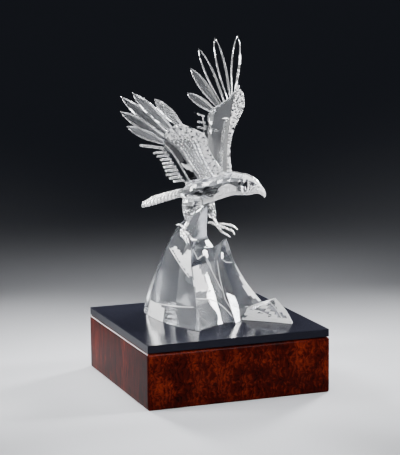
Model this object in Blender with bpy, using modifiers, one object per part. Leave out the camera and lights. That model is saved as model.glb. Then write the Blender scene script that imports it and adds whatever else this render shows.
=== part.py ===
"""Cut crystal eagle landing on a crystal rock, on a burl wood plinth. Metres, +Z up."""

import math

import bmesh
import bpy
import numpy as np
from mathutils import Vector
from mathutils.bvhtree import BVHTree

# Plinth: a veneered box, and a gloss plate that stands on a narrow step
PLINTH_SIDE = 0.160
PLINTH_HEIGHT = 0.0465
PLINTH_ROUNDING = 0.0015
PLATE_THICKNESS = 0.0064
PLATE_INSET = 0.0004
PLATE_BEVEL = 0.0004
GROOVE_HEIGHT = 0.0009
GROOVE_DEPTH = 0.003

# Figure: its pose and carving are shares of its height, written as if it were 240 high
FIGURE_HEIGHT = 0.240
SHARE = FIGURE_HEIGHT / 240
FIGURE_TURN = math.radians(-20.3)

# Thicknesses of the cut pieces, and the glue line between any two
JOINT_GAP = 0.0003
BLADE_THICKNESS = 0.0050
BLADE_END_THICKNESS = 0.0030
FEATHER_THICKNESS = 0.0022
FEATHER_WIDTH = 0.0082
COMB_THICKNESS = 0.0018
TAIL_THICKNESS = 0.0060
TOE_THICKNESS = 0.0023

PLATE_TOP = PLINTH_HEIGHT + GROOVE_HEIGHT + PLATE_THICKNESS

# The body's own directions, turned a little towards the viewer
BODY_TURN = math.radians(-15)
AHEAD = Vector((math.cos(BODY_TURN), math.sin(BODY_TURN), 0))
ACROSS = Vector((-math.sin(BODY_TURN), math.cos(BODY_TURN), 0))
BODY_START = Vector((-3, -1, 0)) * SHARE


def place(u, v, z):
    """Point of the figure: u to the right, v away from the viewer, z above the plate."""
    return Vector((u, v, z)) * SHARE


def on_body(along, z, aside=0.0):
    """Point given along the body's axis, by its height and by its distance to the left of it."""
    return BODY_START + (AHEAD * along + ACROSS * aside) * SHARE + Vector((0, 0, z * SHARE))


def glide(keys, t):
    """Values at t on the smooth curve through the keys, each of them t and its values."""
    steps = np.array([key[0] for key in keys], float)
    values = np.array([key[1:] for key in keys], float)
    slopes = np.gradient(values, steps, axis=0)
    t = min(max(t, steps[0]), steps[-1])
    i = int(min(max(np.searchsorted(steps, t) - 1, 0), len(steps) - 2))
    width = steps[i + 1] - steps[i]
    x = (t - steps[i]) / width
    return (
        (2 * x**3 - 3 * x**2 + 1) * values[i]
        + (x**3 - 2 * x**2 + x) * width * slopes[i]
        + (3 * x**2 - 2 * x**3) * values[i + 1]
        + (x**3 - x**2) * width * slopes[i + 1]
    )


def spread(first, last, count):
    """Evenly spaced values from first to last, both included."""
    return [float(x) for x in np.linspace(first, last, count)]


for old in list(bpy.data.objects):
    bpy.data.objects.remove(old, do_unlink=True)

eagle_parts = bpy.data.collections.new("crystal_eagle")
cutters = bpy.data.collections.new("cutters")
for collection in (eagle_parts, cutters):
    bpy.context.scene.collection.children.link(collection)


def make_material(name, color, roughness, metallic=0.0, transmission=0.0, coat=0.0):
    material = bpy.data.materials.new(name)
    material.use_nodes = True
    shader = material.node_tree.nodes["Principled BSDF"]
    shader.inputs["Base Color"].default_value = (*color, 1)
    shader.inputs["Roughness"].default_value = roughness
    shader.inputs["Metallic"].default_value = metallic
    shader.inputs["Transmission Weight"].default_value = transmission
    shader.inputs["Coat Weight"].default_value = coat
    return material


CRYSTAL = make_material("crystal", (0.93, 0.95, 0.97), 0.02, transmission=1.0)
SILVER = make_material("silver", (0.80, 0.80, 0.79), 0.25, metallic=1.0)
BURL_WOOD = make_material("burl_wood", (0.20, 0.035, 0.012), 0.25, coat=1.0)
BLACK_GLOSS = make_material("black_gloss", (0.008, 0.009, 0.014), 0.06, coat=1.0)

figure = bpy.data.objects.new("figure", None)
figure.location.z = PLATE_TOP
figure.rotation_euler.z = FIGURE_TURN
eagle_parts.objects.link(figure)


def make_object(name, mesh_data, material, parent=None, cutter=False):
    """Object from a bmesh, faces outwards; a cutter is only the operand of a Boolean."""
    bmesh.ops.recalc_face_normals(mesh_data, faces=mesh_data.faces)
    mesh = bpy.data.meshes.new(name)
    mesh_data.to_mesh(mesh)
    mesh_data.free()
    mesh.materials.append(material)
    made = bpy.data.objects.new(name, mesh)
    made.parent = parent
    (cutters if cutter else eagle_parts).objects.link(made)
    if cutter:
        made.hide_render = True
        made.display_type = "WIRE"
    return made


def combine(target, operation, *others):
    for other in others:
        modifier = target.modifiers.new(f"{operation.lower()}_{other.name}", "BOOLEAN")
        modifier.operation = operation
        modifier.solver = "EXACT"
        modifier.object = other


def loft(rings):
    """Closed skin through rings of as many points each, flat at both ends."""
    skin = bmesh.new()
    rows = [[skin.verts.new(point) for point in ring] for ring in rings]
    count = len(rows[0])
    for low, high in zip(rows, rows[1:]):
        for i in range(count):
            j = (i + 1) % count
            skin.faces.new((low[i], low[j], high[j], high[i]))
    skin.faces.new(rows[0][::-1])
    skin.faces.new(rows[-1])
    return skin


def slab(top, bottom):
    """Closed plate between two grids of points of the same size."""
    skin = bmesh.new()
    over = [[skin.verts.new(point) for point in row] for row in top]
    under = [[skin.verts.new(point) for point in row] for row in bottom]
    rows, columns = len(over), len(over[0])
    for grid in (over, under):
        for i in range(rows - 1):
            for j in range(columns - 1):
                skin.faces.new((grid[i][j], grid[i][j + 1], grid[i + 1][j + 1], grid[i + 1][j]))
    for i in range(rows - 1):
        for j in (0, columns - 1):
            skin.faces.new((over[i][j], over[i + 1][j], under[i + 1][j], under[i][j]))
    for j in range(columns - 1):
        for i in (0, rows - 1):
            skin.faces.new((over[i][j], over[i][j + 1], under[i][j + 1], under[i][j]))
    return skin


# Plinth

def make_plinth():
    box = bmesh.new()
    bmesh.ops.create_cube(box, size=1)
    bmesh.ops.scale(box, vec=(PLINTH_SIDE, PLINTH_SIDE, PLINTH_HEIGHT), verts=box.verts)
    bmesh.ops.translate(box, vec=(0, 0, PLINTH_HEIGHT / 2), verts=box.verts)
    plinth = make_object("plinth_box", box, BURL_WOOD)
    rounding = plinth.modifiers.new("rounding", "BEVEL")
    rounding.width = PLINTH_ROUNDING
    rounding.segments = 3

    side = PLINTH_SIDE - 2 * PLATE_INSET
    plate = bmesh.new()
    bmesh.ops.create_cube(plate, size=1)
    bmesh.ops.scale(plate, vec=(side, side, PLATE_THICKNESS), verts=plate.verts)
    bmesh.ops.translate(plate, vec=(0, 0, PLATE_TOP - PLATE_THICKNESS / 2), verts=plate.verts)
    underside = min(plate.faces, key=lambda face: face.calc_center_median().z)
    bmesh.ops.inset_region(plate, faces=[underside], thickness=GROOVE_DEPTH)
    step = bmesh.ops.extrude_discrete_faces(plate, faces=[underside])["faces"][0]
    bmesh.ops.translate(plate, vec=(0, 0, JOINT_GAP - GROOVE_HEIGHT), verts=step.verts)
    top = make_object("plinth_top", plate, BLACK_GLOSS)
    edge = top.modifiers.new("edge", "BEVEL")
    edge.width = PLATE_BEVEL
    edge.segments = 2


# Rock: three horns, each a loft between ridges, joined and cut flat below

ARC_STEPS = 5


def horn(ridges, bulges, heights):
    """Fluted horn. A ridge is height, u and v in keys, anticlockwise from the front. A bulge
    swells the face after its ridge, as shares of the face's width at the foot and at the tip,
    and hollows it below zero."""
    rings = []
    for z in heights:
        rise = max(z, 0) / heights[-1]
        corners = [glide(ridge, z) for ridge in ridges]
        ring = []
        for i, corner in enumerate(corners):
            side = corners[(i + 1) % len(corners)] - corner
            swell = bulges[i][0] + (bulges[i][1] - bulges[i][0]) * rise
            for step in range(ARC_STEPS):
                x = step / ARC_STEPS
                outwards = np.array((side[1], -side[0]))
                u, v = corner + side * x + outwards * 4 * x * (1 - x) * swell
                ring.append(place(u, v, z))
        rings.append(ring)
    return loft(rings)


# How far each horn reaches below the plate before the cut, not all at one level
MAIN_SINK = 3.0
SECOND_SINK = 3.6
THIRD_SINK = 4.2
FLOOR_CUT_DEPTH = 10.0

MAIN_RIDGES = (
    (
        (0, -5.5, -52), (28.5, -9, -41), (60, -12.2, -29),
        (74, -10, -22), (87, -6, -12), (97, 0, -5.5),
    ),
    (
        (0, 21, -18), (20, 17, -11), (40, 11.5, -4), (60.9, 7.4, 1.5),
        (67, 3, 1.5), (75, 1.2, 0), (84, 1.7, -2), (97, 2.2, -3.5),
    ),
    ((0, 4, 50), (30, 2, 36), (60, 1, 20), (80, 0, 9), (92, 0.5, 1.5), (97, 1, -1.5)),
    (
        (0, -54.4, 27), (15, -51, 25), (44, -40.4, 18), (70, -28.6, 8),
        (83.5, -19, 1.5), (91, -10, -1), (97, -1.2, -2.8),
    ),
)
MAIN_BULGES = ((-0.05, -0.06), (0.04, 0.02), (0.07, 0.04), (0.086, 0.02))

SECOND_RIDGES = (
    (
        (0, 25.3, -24), (16.4, 20.2, -20), (31.8, 15.9, -15),
        (48.8, 14.3, -9), (64.1, 14.2, -3), (69.3, 17.0, -1.6),
    ),
    (
        (0, 57, 20), (10.8, 48.2, 16), (28.4, 35.3, 10),
        (49, 24.4, 4), (64.4, 19.5, 0), (69.3, 17.9, -1.2),
    ),
    ((0, 28, 44), (30, 20, 26), (55, 16, 8), (69.3, 17.3, -0.2)),
    (
        (0, -2, 0), (30, -1, 0), (50, 1, 0.5),
        (60.9, 6.5, 1), (64, 11, 0.5), (69.3, 16.7, -0.8),
    ),
)
SECOND_BULGES = ((-0.06, -0.02), (0.05, 0.02), (0.04, 0.02), (-0.04, -0.02))

THIRD_RIDGES = (
    ((0, 72.6, -29), (6.4, 69.9, -22), (12.9, 65, -14), (18.1, 59.3, -8.4)),
    ((0, 73, -14), (8, 68, -9), (15, 62, -7), (18.1, 59.5, -7.6)),
    ((0, 60, 22), (8, 56, 10), (15, 57, -2), (18.1, 58.7, -7)),
    ((0, 26, 8), (6, 33, 2), (12, 42, -3), (15.2, 49.7, -6), (18.1, 58.4, -7.6)),
    ((0, 28, -10.5), (6, 36, -9.5), (12, 46.5, -9), (18.1, 58.7, -8.3)),
)
THIRD_BULGES = ((0.04, 0.02), (0.03, 0.0), (0.0, 0.0), (0.0, 0.0), (-0.03, 0.0))


def make_rock():
    """The rock, a search tree over its main horn, and that horn one gap larger, which cuts
    the foot that grips it."""
    heights = [-MAIN_SINK, 0, 15, 30, 45, 60, 67, 75, 82, 88, 93, 97]
    main = horn(MAIN_RIDGES, MAIN_BULGES, heights)
    bmesh.ops.recalc_face_normals(main, faces=main.faces)
    grip = BVHTree.FromBMesh(main)
    larger = main.copy()
    larger.normal_update()
    moves = [corner.normal * corner.calc_shell_factor() * JOINT_GAP for corner in larger.verts]
    for corner, move in zip(larger.verts, moves):
        corner.co += move
    rock_room = make_object("rock_room", larger, CRYSTAL, figure, True)
    rock = make_object("rock", main, CRYSTAL, figure)

    heights = [-SECOND_SINK, 0, 11, 22, 33, 44, 54, 61, 66, 69.3]
    peak = horn(SECOND_RIDGES, SECOND_BULGES, heights)
    second = make_object("second_peak", peak, CRYSTAL, figure, True)
    heights = [-THIRD_SINK, 0, 4, 8, 12, 15.2, 18.1]
    peak = horn(THIRD_RIDGES, THIRD_BULGES, heights)
    third = make_object("third_peak", peak, CRYSTAL, figure, True)

    below = bmesh.new()
    bmesh.ops.create_cube(below, size=1)
    depth = FLOOR_CUT_DEPTH * SHARE
    bmesh.ops.scale(below, vec=(PLINTH_SIDE * 2, PLINTH_SIDE * 2, depth), verts=below.verts)
    bmesh.ops.translate(below, vec=(0, 0, JOINT_GAP - depth / 2), verts=below.verts)
    floor = make_object("rock_floor", below, CRYSTAL, figure, True)
    combine(rock, "UNION", second, third)
    combine(rock, "DIFFERENCE", floor)
    return grip, rock_room


# Body, head and tail

# Cut of a section: share of the half width, and height from -1 at the bottom to 1 at the top
FACETS = ((0.32, 1.0), (0.84, 0.60), (1.0, 0.0), (0.78, -0.62), (0.30, -1.0))

# Each section: top and bottom along the axis and in height, then half the width
BODY_SECTIONS = (
    (-15.2, 112.2, -17.5, 104.4, 5.0),
    (-11.5, 117.0, -12.5, 101.4, 7.6),
    (-5.5, 121.0, -5.5, 99.6, 9.4),
    (3.3, 123.0, 3.3, 99.5, 10.3),
    (12.0, 125.0, 12.0, 102.2, 10.3),
    (20.7, 126.4, 20.7, 105.3, 9.7),
    (28.0, 127.2, 28.0, 107.8, 8.8),
    (36.4, 126.0, 36.4, 108.2, 8.0),
)
HEAD_SECTIONS = (
    (36.4, 126.0, 36.4, 108.2, 8.0),
    (40.0, 125.5, 40.0, 108.2, 7.9),
    (43.8, 123.7, 43.3, 108.4, 7.4),
    (47.8, 121.0, 46.4, 109.2, 6.2),
    (50.6, 118.0, 48.8, 109.5, 4.5),
    (51.7, 116.2, 50.2, 109.2, 3.1),
    (53.5, 114.3, 51.8, 108.6, 2.5),
    (55.2, 111.7, 53.2, 108.0, 1.9),
    (56.0, 109.0, 54.2, 107.2, 1.2),
    (55.5, 106.4, 54.8, 106.0, 0.4),
)


def faceted_rings(sections, grow=0.0):
    """Rings of a body that is symmetric about its axis, grown on every side."""
    rings = []
    grow = grow / SHARE
    for top_along, top_z, low_along, low_z, half in sections:
        middle = Vector((top_along + low_along, top_z + low_z)) / 2
        lift = Vector((top_along - low_along, top_z - low_z)) / 2
        lift = lift.normalized() * (lift.length + grow)
        right = [(-x * (half + grow), y) for x, y in FACETS]
        left = [(x * (half + grow), y) for x, y in FACETS[::-1]]
        rings.append([on_body(*(middle + lift * y), aside) for aside, y in right + left])
    return rings


def shifted(rings, first, last):
    """The rings with the two end ones moved along the body's axis."""
    rings[0] = [point + AHEAD * first for point in rings[0]]
    rings[-1] = [point + AHEAD * last for point in rings[-1]]
    return rings


def make_body():
    """Body and head, and a copy of the body that cuts what is glued to it, one gap larger."""
    make_object("body", loft(faceted_rings(BODY_SECTIONS)), CRYSTAL, figure)
    make_object("head", loft(shifted(faceted_rings(HEAD_SECTIONS), JOINT_GAP, 0)), CRYSTAL, figure)
    grown = shifted(faceted_rings(BODY_SECTIONS, JOINT_GAP), -JOINT_GAP, JOINT_GAP)
    return make_object("body_room", loft(grown), CRYSTAL, figure, True)


TAIL_FEATHERS = 7
TAIL_ROWS = 8
TAIL_COLUMNS = 4 * TAIL_FEATHERS + 1
TAIL_LENGTH = 37.5
TAIL_DROP = math.radians(16.8)
TAIL_ROLL = math.radians(8)
TAIL_START = (-15.9, 108.6)
# How far out, half the width and share of the thickness
TAIL_OUTLINE = ((0, 4.8, 1.2), (0.3, 7.8, 1.05), (0.7, 12.0, 0.8), (1, 14.2, 0.5))
# Shares of the tail's length lost at its corners and between feathers, and depth of the grooves
TAIL_CORNER = 0.10
TAIL_SCALLOP = 0.06
TAIL_GROOVE = 0.45
TAIL_CROWN_POWER = 0.7


def make_tail(body_room):
    """Fan of feathers side by side: each has a crowned back and a rounded end."""
    over, under = [], []
    for row in range(TAIL_ROWS):
        out = row / (TAIL_ROWS - 1)
        half, thick = glide(TAIL_OUTLINE, out)
        upper, lower = [], []
        for column in range(TAIL_COLUMNS):
            x = 2 * column / (TAIL_COLUMNS - 1) - 1
            crown = abs(math.sin(math.pi * TAIL_FEATHERS * (x + 1) / 2)) ** TAIL_CROWN_POWER
            trim = TAIL_CORNER * x * x + TAIL_SCALLOP * out * (1 - crown)
            reach = out * TAIL_LENGTH * (1 - trim)
            relief = 1 - (1 - crown) * TAIL_GROOVE * min(1, out * 2)
            along = TAIL_START[0] - reach * math.cos(TAIL_DROP)
            z = TAIL_START[1] - reach * math.sin(TAIL_DROP)
            middle = on_body(along, z + x * half * math.sin(TAIL_ROLL), x * half)
            lift = Vector((0, 0, TAIL_THICKNESS / 2 * thick * relief))
            upper.append(middle + lift)
            lower.append(middle - lift)
        over.append(upper)
        under.append(lower)
    tail = make_object("tail", slab(over, under), CRYSTAL, figure)
    combine(tail, "DIFFERENCE", body_room)


# Wings: each lies in its own plane, with c along the chord to the front and s along the span

# Blade's half section: share of the chord, and of the thickness
BLADE_CUT = ((0.0, 0.16), (0.2, 0.42), (0.5, 0.5), (0.76, 0.46), (1.0, 0.17))
# Feather: share of the length, then of the width and of the thickness
LEAF = (
    (0, 0.40, 1), (0.2, 0.70, 1), (0.46, 1.0, 1), (0.72, 0.87, 1), (0.89, 0.53, 0.95), (1, 0.06, 0.45),
)
LEAF_CUT = (
    (-1, 0.12), (-0.5, 0.5), (0.5, 0.5), (1, 0.12),
    (1, -0.12), (0.5, -0.5), (-0.5, -0.5), (-1, -0.12),
)
LEAF_STATIONS = (0, 0.12, 0.26, 0.4, 0.55, 0.7, 0.82, 0.92, 0.98, 1)
FEATHER_PITCH = math.radians(14)
FEATHER_LET_IN = 3.0
COMB_TEETH = 10
COMB_TOOTH_SHARE = 0.66
COMB_TOOTH_LENGTH = 9.0
COMB_TIP_STEPS = 4
# From the base of the last long feather down to the comb's first tooth
COMB_CLEARANCE = 3.9
# How much the chord of both wings climbs to the front
CHORD_CLIMB = 0.1

RIGHT_WING = {
    "name": "right",
    "root": (-8, -1.5, 118.85),
    "span": (-63, -42, 77),
    "stations": (-11, -4, 3, 10, 20, 30, 38, 45, 50, 54, 57.5),
    "rear": (
        (-12, 8), (-4, 1), (3, -3.2), (10, -2.4), (21, 0), (42, 3), (49, 3), (54, 7), (57.5, 14),
    ),
    "front": (
        (-12, 27), (-6, 27), (5, 28.5), (17, 30), (26.5, 33),
        (36, 37.8), (45, 35.4), (52, 31), (57.5, 27.8),
    ),
    "feathers": (
        ((26.3, 56.5), (24.8, 89.2)),
        ((17.0, 57.4), (12.6, 103.3)),
        ((10.6, 55.6), (1.7, 104.6)),
        ((5.6, 53.2), (-8.6, 92.4)),
        ((2.6, 48.4), (-13.8, 77.0)),
    ),
    "comb": (
        (2, -15.5), (6.2, -16.8), (17.2, -18), (22.5, -15.9),
        (31, -12.9), (42, -12.9), (50, -15), (56, -16.6),
    ),
    "comb_start": 2.0,
    "comb_strip": 5.2,
    "comb_slant": math.radians(21),
    "lead_slant": math.radians(39),
    "lead_length": 3.6,
    "lead_width": 1.25,
    "feather_share": 1.12,
}
LEFT_WING = {
    "name": "left",
    "root": (6, -2, 119.45),
    "span": (18, 25, 117),
    "stations": (-6, 2, 11, 20, 30, 40, 50, 57, 62, 66, 71, 77, 84),
    "rear": (
        (-6, 0), (5, -3), (15, -5.5), (26, -6.8), (43, -7.8),
        (61, -7.6), (65.5, -1.4), (70.6, 4.3), (76.4, 8.3), (84, 10),
    ),
    "front": (
        (-6, 18), (5, 17), (11, 15.7), (21.6, 13), (31, 11.8), (38.5, 12.2),
        (48, 14), (57.4, 17.3), (64, 19.1), (70, 18.7), (77, 16), (84, 11),
    ),
    "feathers": (
        ((8.2, 76.8), (4.8, 124.8)),
        ((4.6, 71.6), (-15.4, 121.2)),
        ((-0.2, 67.2), (-28.1, 110.3)),
        ((-3.8, 63.6), (-32.7, 92.8)),
        ((-7.0, 58.8), (-32.4, 71.4)),
    ),
    "comb": ((6, -12), (12, -14.5), (25, -17), (36, -18.6), (51, -20.5), (60, -21.4)),
    "comb_start": 6.0,
    "comb_strip": 4.6,
    "comb_slant": math.radians(6),
    "lead_slant": math.radians(17),
    "lead_length": 0.4,
    "lead_width": 1.6,
    "feather_share": 1.0,
}


def wing_frame(wing):
    """Root point, span, chord and normal. The chord lies in the plane of span and body."""
    span = Vector(wing["span"]).normalized()
    ahead = (AHEAD + Vector((0, 0, CHORD_CLIMB))).normalized()
    chord = (ahead - span * ahead.dot(span)).normalized()
    return place(*wing["root"]), span, chord, span.cross(chord)


def in_wing(frame, c, s, off=0.0):
    root, span, chord, normal = frame
    return root + (chord * c + span * s) * SHARE + normal * off


def make_blade(wing, frame, grow=0.0, cutter=False):
    first, last = wing["stations"][0], wing["stations"][-1]
    rings = []
    for s in wing["stations"]:
        rear, front = float(glide(wing["rear"], s)[0]), float(glide(wing["front"], s)[0])
        out = (s - first) / (last - first)
        thick = BLADE_THICKNESS + (BLADE_END_THICKNESS - BLADE_THICKNESS) * out
        rear, front = rear - grow / SHARE, front + grow / SHARE
        reach = s + (grow / SHARE if s == last else 0)
        near = [(rear + (front - rear) * x, y * thick + grow) for x, y in BLADE_CUT]
        rings.append([in_wing(frame, c, reach, off) for c, off in near]
                     + [in_wing(frame, c, reach, -off) for c, off in near[::-1]])
    name = wing["name"] + ("_wing_room" if cutter else "_wing")
    return make_object(name, loft(rings), CRYSTAL, figure, cutter)


def make_feather(wing, frame, number, base, tip, wing_room):
    """Leaf-shaped feather with a flat table and ground edges, pitched about its own length."""
    base, tip = Vector(base), Vector(tip)
    ahead = (tip - base).normalized()
    base = base - ahead * FEATHER_LET_IN
    length = (tip - base).length
    _, span, chord, normal = frame
    along = chord * ahead.x + span * ahead.y
    aside = normal.cross(along)
    flat = aside * math.cos(FEATHER_PITCH) + normal * math.sin(FEATHER_PITCH)
    upright = along.cross(flat)
    rings = []
    for t in LEAF_STATIONS:
        wide, thick = (float(share) for share in glide(LEAF, t))
        middle = in_wing(frame, *(base + ahead * length * t))
        half = flat * FEATHER_WIDTH / 2 * wide * wing["feather_share"]
        high = upright * FEATHER_THICKNESS * thick
        rings.append([middle + half * x + high * y for x, y in LEAF_CUT])
    name = f"{wing['name']}_primary_{number}"
    feather = make_object(name, loft(rings), CRYSTAL, figure)
    combine(feather, "DIFFERENCE", wing_room)


def make_comb(wing, frame):
    """Secondaries: a strip along the blade's rear edge, cut into round-ended teeth."""
    last_base = wing["feathers"][-1][0]
    low, high = wing["comb_start"], last_base[1] - COMB_CLEARANCE
    gap = JOINT_GAP / SHARE
    slant = math.tan(wing["comb_slant"])

    def rear(s):
        return float(glide(wing["rear"], s)[0])

    inner = [(rear(s) - gap, s) for s in spread(low, high, 12)]
    lead = (wing["lead_width"] - 1) * COMB_TOOTH_SHARE
    pitch = (high - low) / (COMB_TEETH + lead)
    start = high
    outer = []
    for number in range(COMB_TEETH):
        leads = number == 0
        tooth = pitch * (COMB_TOOTH_SHARE + (lead if leads else 0))
        root_c = rear(start - tooth / 2) - wing["comb_strip"]
        tip_s = start - tooth / 2
        tip_c = float(glide(wing["comb"], tip_s + slant * COMB_TOOTH_LENGTH)[0])
        if leads:
            tip_c -= wing["lead_length"]
        radius = tooth / 2
        rise = math.tan(wing["lead_slant"]) if leads else slant
        end = tip_s + rise * (root_c - tip_c)
        outer.append((root_c, start))
        for step in range(COMB_TIP_STEPS + 1):
            angle = math.pi * step / COMB_TIP_STEPS
            c = tip_c + radius - radius * math.sin(angle)
            outer.append((c, end + radius * math.cos(angle)))
        outer.append((root_c, start - tooth))
        start -= tooth + pitch * (1 - COMB_TOOTH_SHARE)
    outline = inner + outer
    skin = bmesh.new()
    edge = [skin.verts.new(in_wing(frame, c, s, -COMB_THICKNESS / 2)) for c, s in outline]
    face = skin.faces.new(edge)
    raised = bmesh.ops.extrude_face_region(skin, geom=[face])["geom"]
    lifted = [item for item in raised if isinstance(item, bmesh.types.BMVert)]
    bmesh.ops.translate(skin, vec=frame[3] * COMB_THICKNESS, verts=lifted)
    bmesh.ops.triangulate(skin, faces=[side for side in skin.faces if len(side.verts) > 4])
    return make_object(wing["name"] + "_secondaries", skin, CRYSTAL, figure)


def make_wing(wing, body_room):
    frame = wing_frame(wing)
    blade = make_blade(wing, frame)
    combine(blade, "DIFFERENCE", body_room)
    wing_room = make_blade(wing, frame, JOINT_GAP, True)
    for number, (base, tip) in enumerate(wing["feathers"], 1):
        make_feather(wing, frame, number, base, tip, wing_room)
    comb = make_comb(wing, frame)
    combine(comb, "DIFFERENCE", body_room, wing_room)


# Legs

THIGH_SIDES = 10
# Height, then the middle's u and v, and half the size along and across
RIGHT_THIGH = (
    (86, -13.8, -12.6, 2.6, 2.5), (89, -14.1, -12.6, 3.6, 3.5), (94, -13.1, -12.2, 6.3, 5.0),
    (98.5, -11.4, -11.6, 8.3, 6.0), (102.3, -10.4, -11.0, 9.3, 6.4), (105.5, -10.5, -10.2, 7.6, 5.4),
    (108, -10.8, -9.0, 3.4, 3.0),
)
LEFT_THIGH = (
    (86, 6.6, 6.2, 3.0, 2.8), (89, 5.6, 6.6, 4.2, 3.9), (93, 3.6, 7.0, 5.8, 5.0),
    (97, 1.6, 7.4, 7.3, 5.6), (101, -0.3, 7.6, 8.4, 6.0), (105, -0.8, 7.2, 6.6, 5.0),
    (108, -1.0, 6.2, 3.0, 2.8),
)
SHANK_SIDES = 8
# Thickness of each shank, from the thigh down
RIGHT_SHANK = (0.0034, 0.0032, 0.0026, 0.0030)
LEFT_SHANK = (0.0026, 0.0024, 0.0022, 0.0028)
TOE_SIDES = 6
TOE_RINGS = 10
KNUCKLE_SWELL = 0.16
# Share of the way along a toe, where the claw starts, and of its thickness
TOE_TAPER = ((0, 1.0), (0.75, 0.81), (1, 0.12))
# The lowest middle of a toe above the rock, as a share of its thickness
TOE_REST = 0.62


def make_thigh(name, sections, body_room, foot_room):
    rings = []
    for z, u, v, half_along, half_across in sections:
        ring = []
        for side in range(THIGH_SIDES):
            angle = 2 * math.pi * (side + 0.5) / THIGH_SIDES
            offset = AHEAD * math.cos(angle) * half_along + ACROSS * math.sin(angle) * half_across
            ring.append(place(u, v, z) + offset * SHARE)
        rings.append(ring)
    thigh = make_object(name, loft(rings), CRYSTAL, figure)
    combine(thigh, "DIFFERENCE", body_room, foot_room)


def tube(points, radii, sides):
    """Round limb along points, each ring square to the way it goes."""
    rings = []
    for i, (point, radius) in enumerate(zip(points, radii)):
        ahead = (points[min(i + 1, len(points) - 1)] - points[max(i - 1, 0)]).normalized()
        aside = ahead.cross(Vector((0.3, 1, 0.2))).normalized()
        other = ahead.cross(aside)
        angles = [2 * math.pi * side / sides for side in range(sides)]
        rings.append([point + (aside * math.cos(a) + other * math.sin(a)) * radius for a in angles])
    return loft(rings)


def toe(route):
    """Toe of three joints and a claw along the route's points, thick to thin."""
    keys = [(i / (len(route) - 1), *point) for i, point in enumerate(route)]
    points, radii = [], []
    for ring in range(TOE_RINGS):
        t = ring / (TOE_RINGS - 1)
        points.append(Vector(glide(keys, t)))
        knuckle = 1 + KNUCKLE_SWELL * math.cos(6 * math.pi * t)
        taper = np.interp(t, *zip(*TOE_TAPER))
        radii.append(TOE_THICKNESS / 2 * float(taper) * knuckle)
    return tube(points, radii, TOE_SIDES)


def make_foot(name, shank, thickness, toes):
    """Foot cast in one, and a copy of its shank that cuts the thigh, one gap larger."""
    limb = tube(shank, [across / 2 for across in thickness], SHANK_SIDES)
    foot = make_object(name, limb, SILVER, figure)
    for number, route in enumerate(toes, 1):
        added = make_object(f"{name}_toe_{number}", toe(route), SILVER, figure, True)
        combine(foot, "UNION", added)
    room = tube(shank, [across / 2 + JOINT_GAP for across in thickness], SHANK_SIDES)
    return foot, make_object(f"{name}_room", room, SILVER, figure, True)


def make_legs(grip, rock_room, body_room):
    """The right foot grips the main horn, and the left one reaches forward in the air."""
    rest = TOE_THICKNESS * TOE_REST + JOINT_GAP

    def on_rock(u, z, lift=rest):
        start = place(u, -PLINTH_SIDE / SHARE, z)
        hit, normal, _, _ = grip.ray_cast(start, Vector((0, 1, 0)))
        return hit + normal * lift

    def on_front_ridge(z, lift=rest * 1.4):
        u, v = glide(MAIN_RIDGES[0], z)
        return place(u, v, z) + Vector((0, -lift, 0))

    ankle = [place(-13.8, -12.6, 89.0), place(-14.4, -13.4, 85.5), place(-17.2, -15.4, 80.5),
             on_rock(-17.4, 76.0, rest * 1.5)]
    heel = ankle[-1]
    right_toes = (
        (heel, on_rock(-14.8, 76.0), on_rock(-12.2, 74.2, rest * 1.1), on_front_ridge(72.2),
         on_rock(-8.6, 70.4, rest * 1.2), on_rock(-7.2, 68.2, rest * 0.9)),
        (heel, on_rock(-16.6, 74.9), on_rock(-14.4, 72.6), on_rock(-12.9, 70.6, rest * 1.2),
         on_rock(-12.2, 68.4, rest * 0.9)),
        (heel, on_rock(-18.8, 75.4), on_rock(-18.4, 73.2), on_rock(-16.2, 71.2),
         on_rock(-14.8, 69.4), on_rock(-14.4, 67.6, rest * 0.9)),
        (ankle[2], place(-19.2, -13.6, 82.2), place(-21.6, -12.4, 83.2), place(-24.3, -11.8, 82.6)),
    )
    right_foot, right_room = make_foot("right_foot", ankle, RIGHT_SHANK, right_toes)
    combine(right_foot, "DIFFERENCE", rock_room)

    left_heel = place(9.9, 5.2, 80.0)
    left_ankle = [place(6.8, 6.0, 89.0), place(7.6, 5.9, 85.0), place(9.0, 5.5, 82.0), left_heel]
    left_toes = (
        (left_heel, place(12.5, 6.4, 80.4), place(17.8, 8.2, 79.6), place(23, 9.2, 78.2),
         place(28.2, 9.6, 74.8)),
        (left_heel, place(13, 4.6, 78.9), place(19.0, 4.2, 76.4), place(23.6, 3.6, 74.2),
         place(25.5, 3.2, 70.8)),
        (left_heel, place(11.4, 3.6, 77.6), place(14.0, 1.6, 74.6), place(18.0, 0.4, 72.2),
         place(21.6, -0.2, 69.6)),
        (left_heel, place(7.6, 5.4, 80.6), place(5.0, 6.0, 81.6), place(2.0, 6.6, 80.8)),
    )
    _, left_room = make_foot("left_foot", left_ankle, LEFT_SHANK, left_toes)

    make_thigh("right_thigh", RIGHT_THIGH, body_room, right_room)
    make_thigh("left_thigh", LEFT_THIGH, body_room, left_room)


make_plinth()
rock_grip, room_over_rock = make_rock()
eagle_room = make_body()
make_tail(eagle_room)
for each_wing in (RIGHT_WING, LEFT_WING):
    make_wing(each_wing, eagle_room)
make_legs(rock_grip, room_over_rock, eagle_room)
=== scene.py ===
import math

import bmesh
import bpy
import numpy as np
from mathutils import Matrix, Vector
from mathutils.bvhtree import BVHTree


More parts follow.
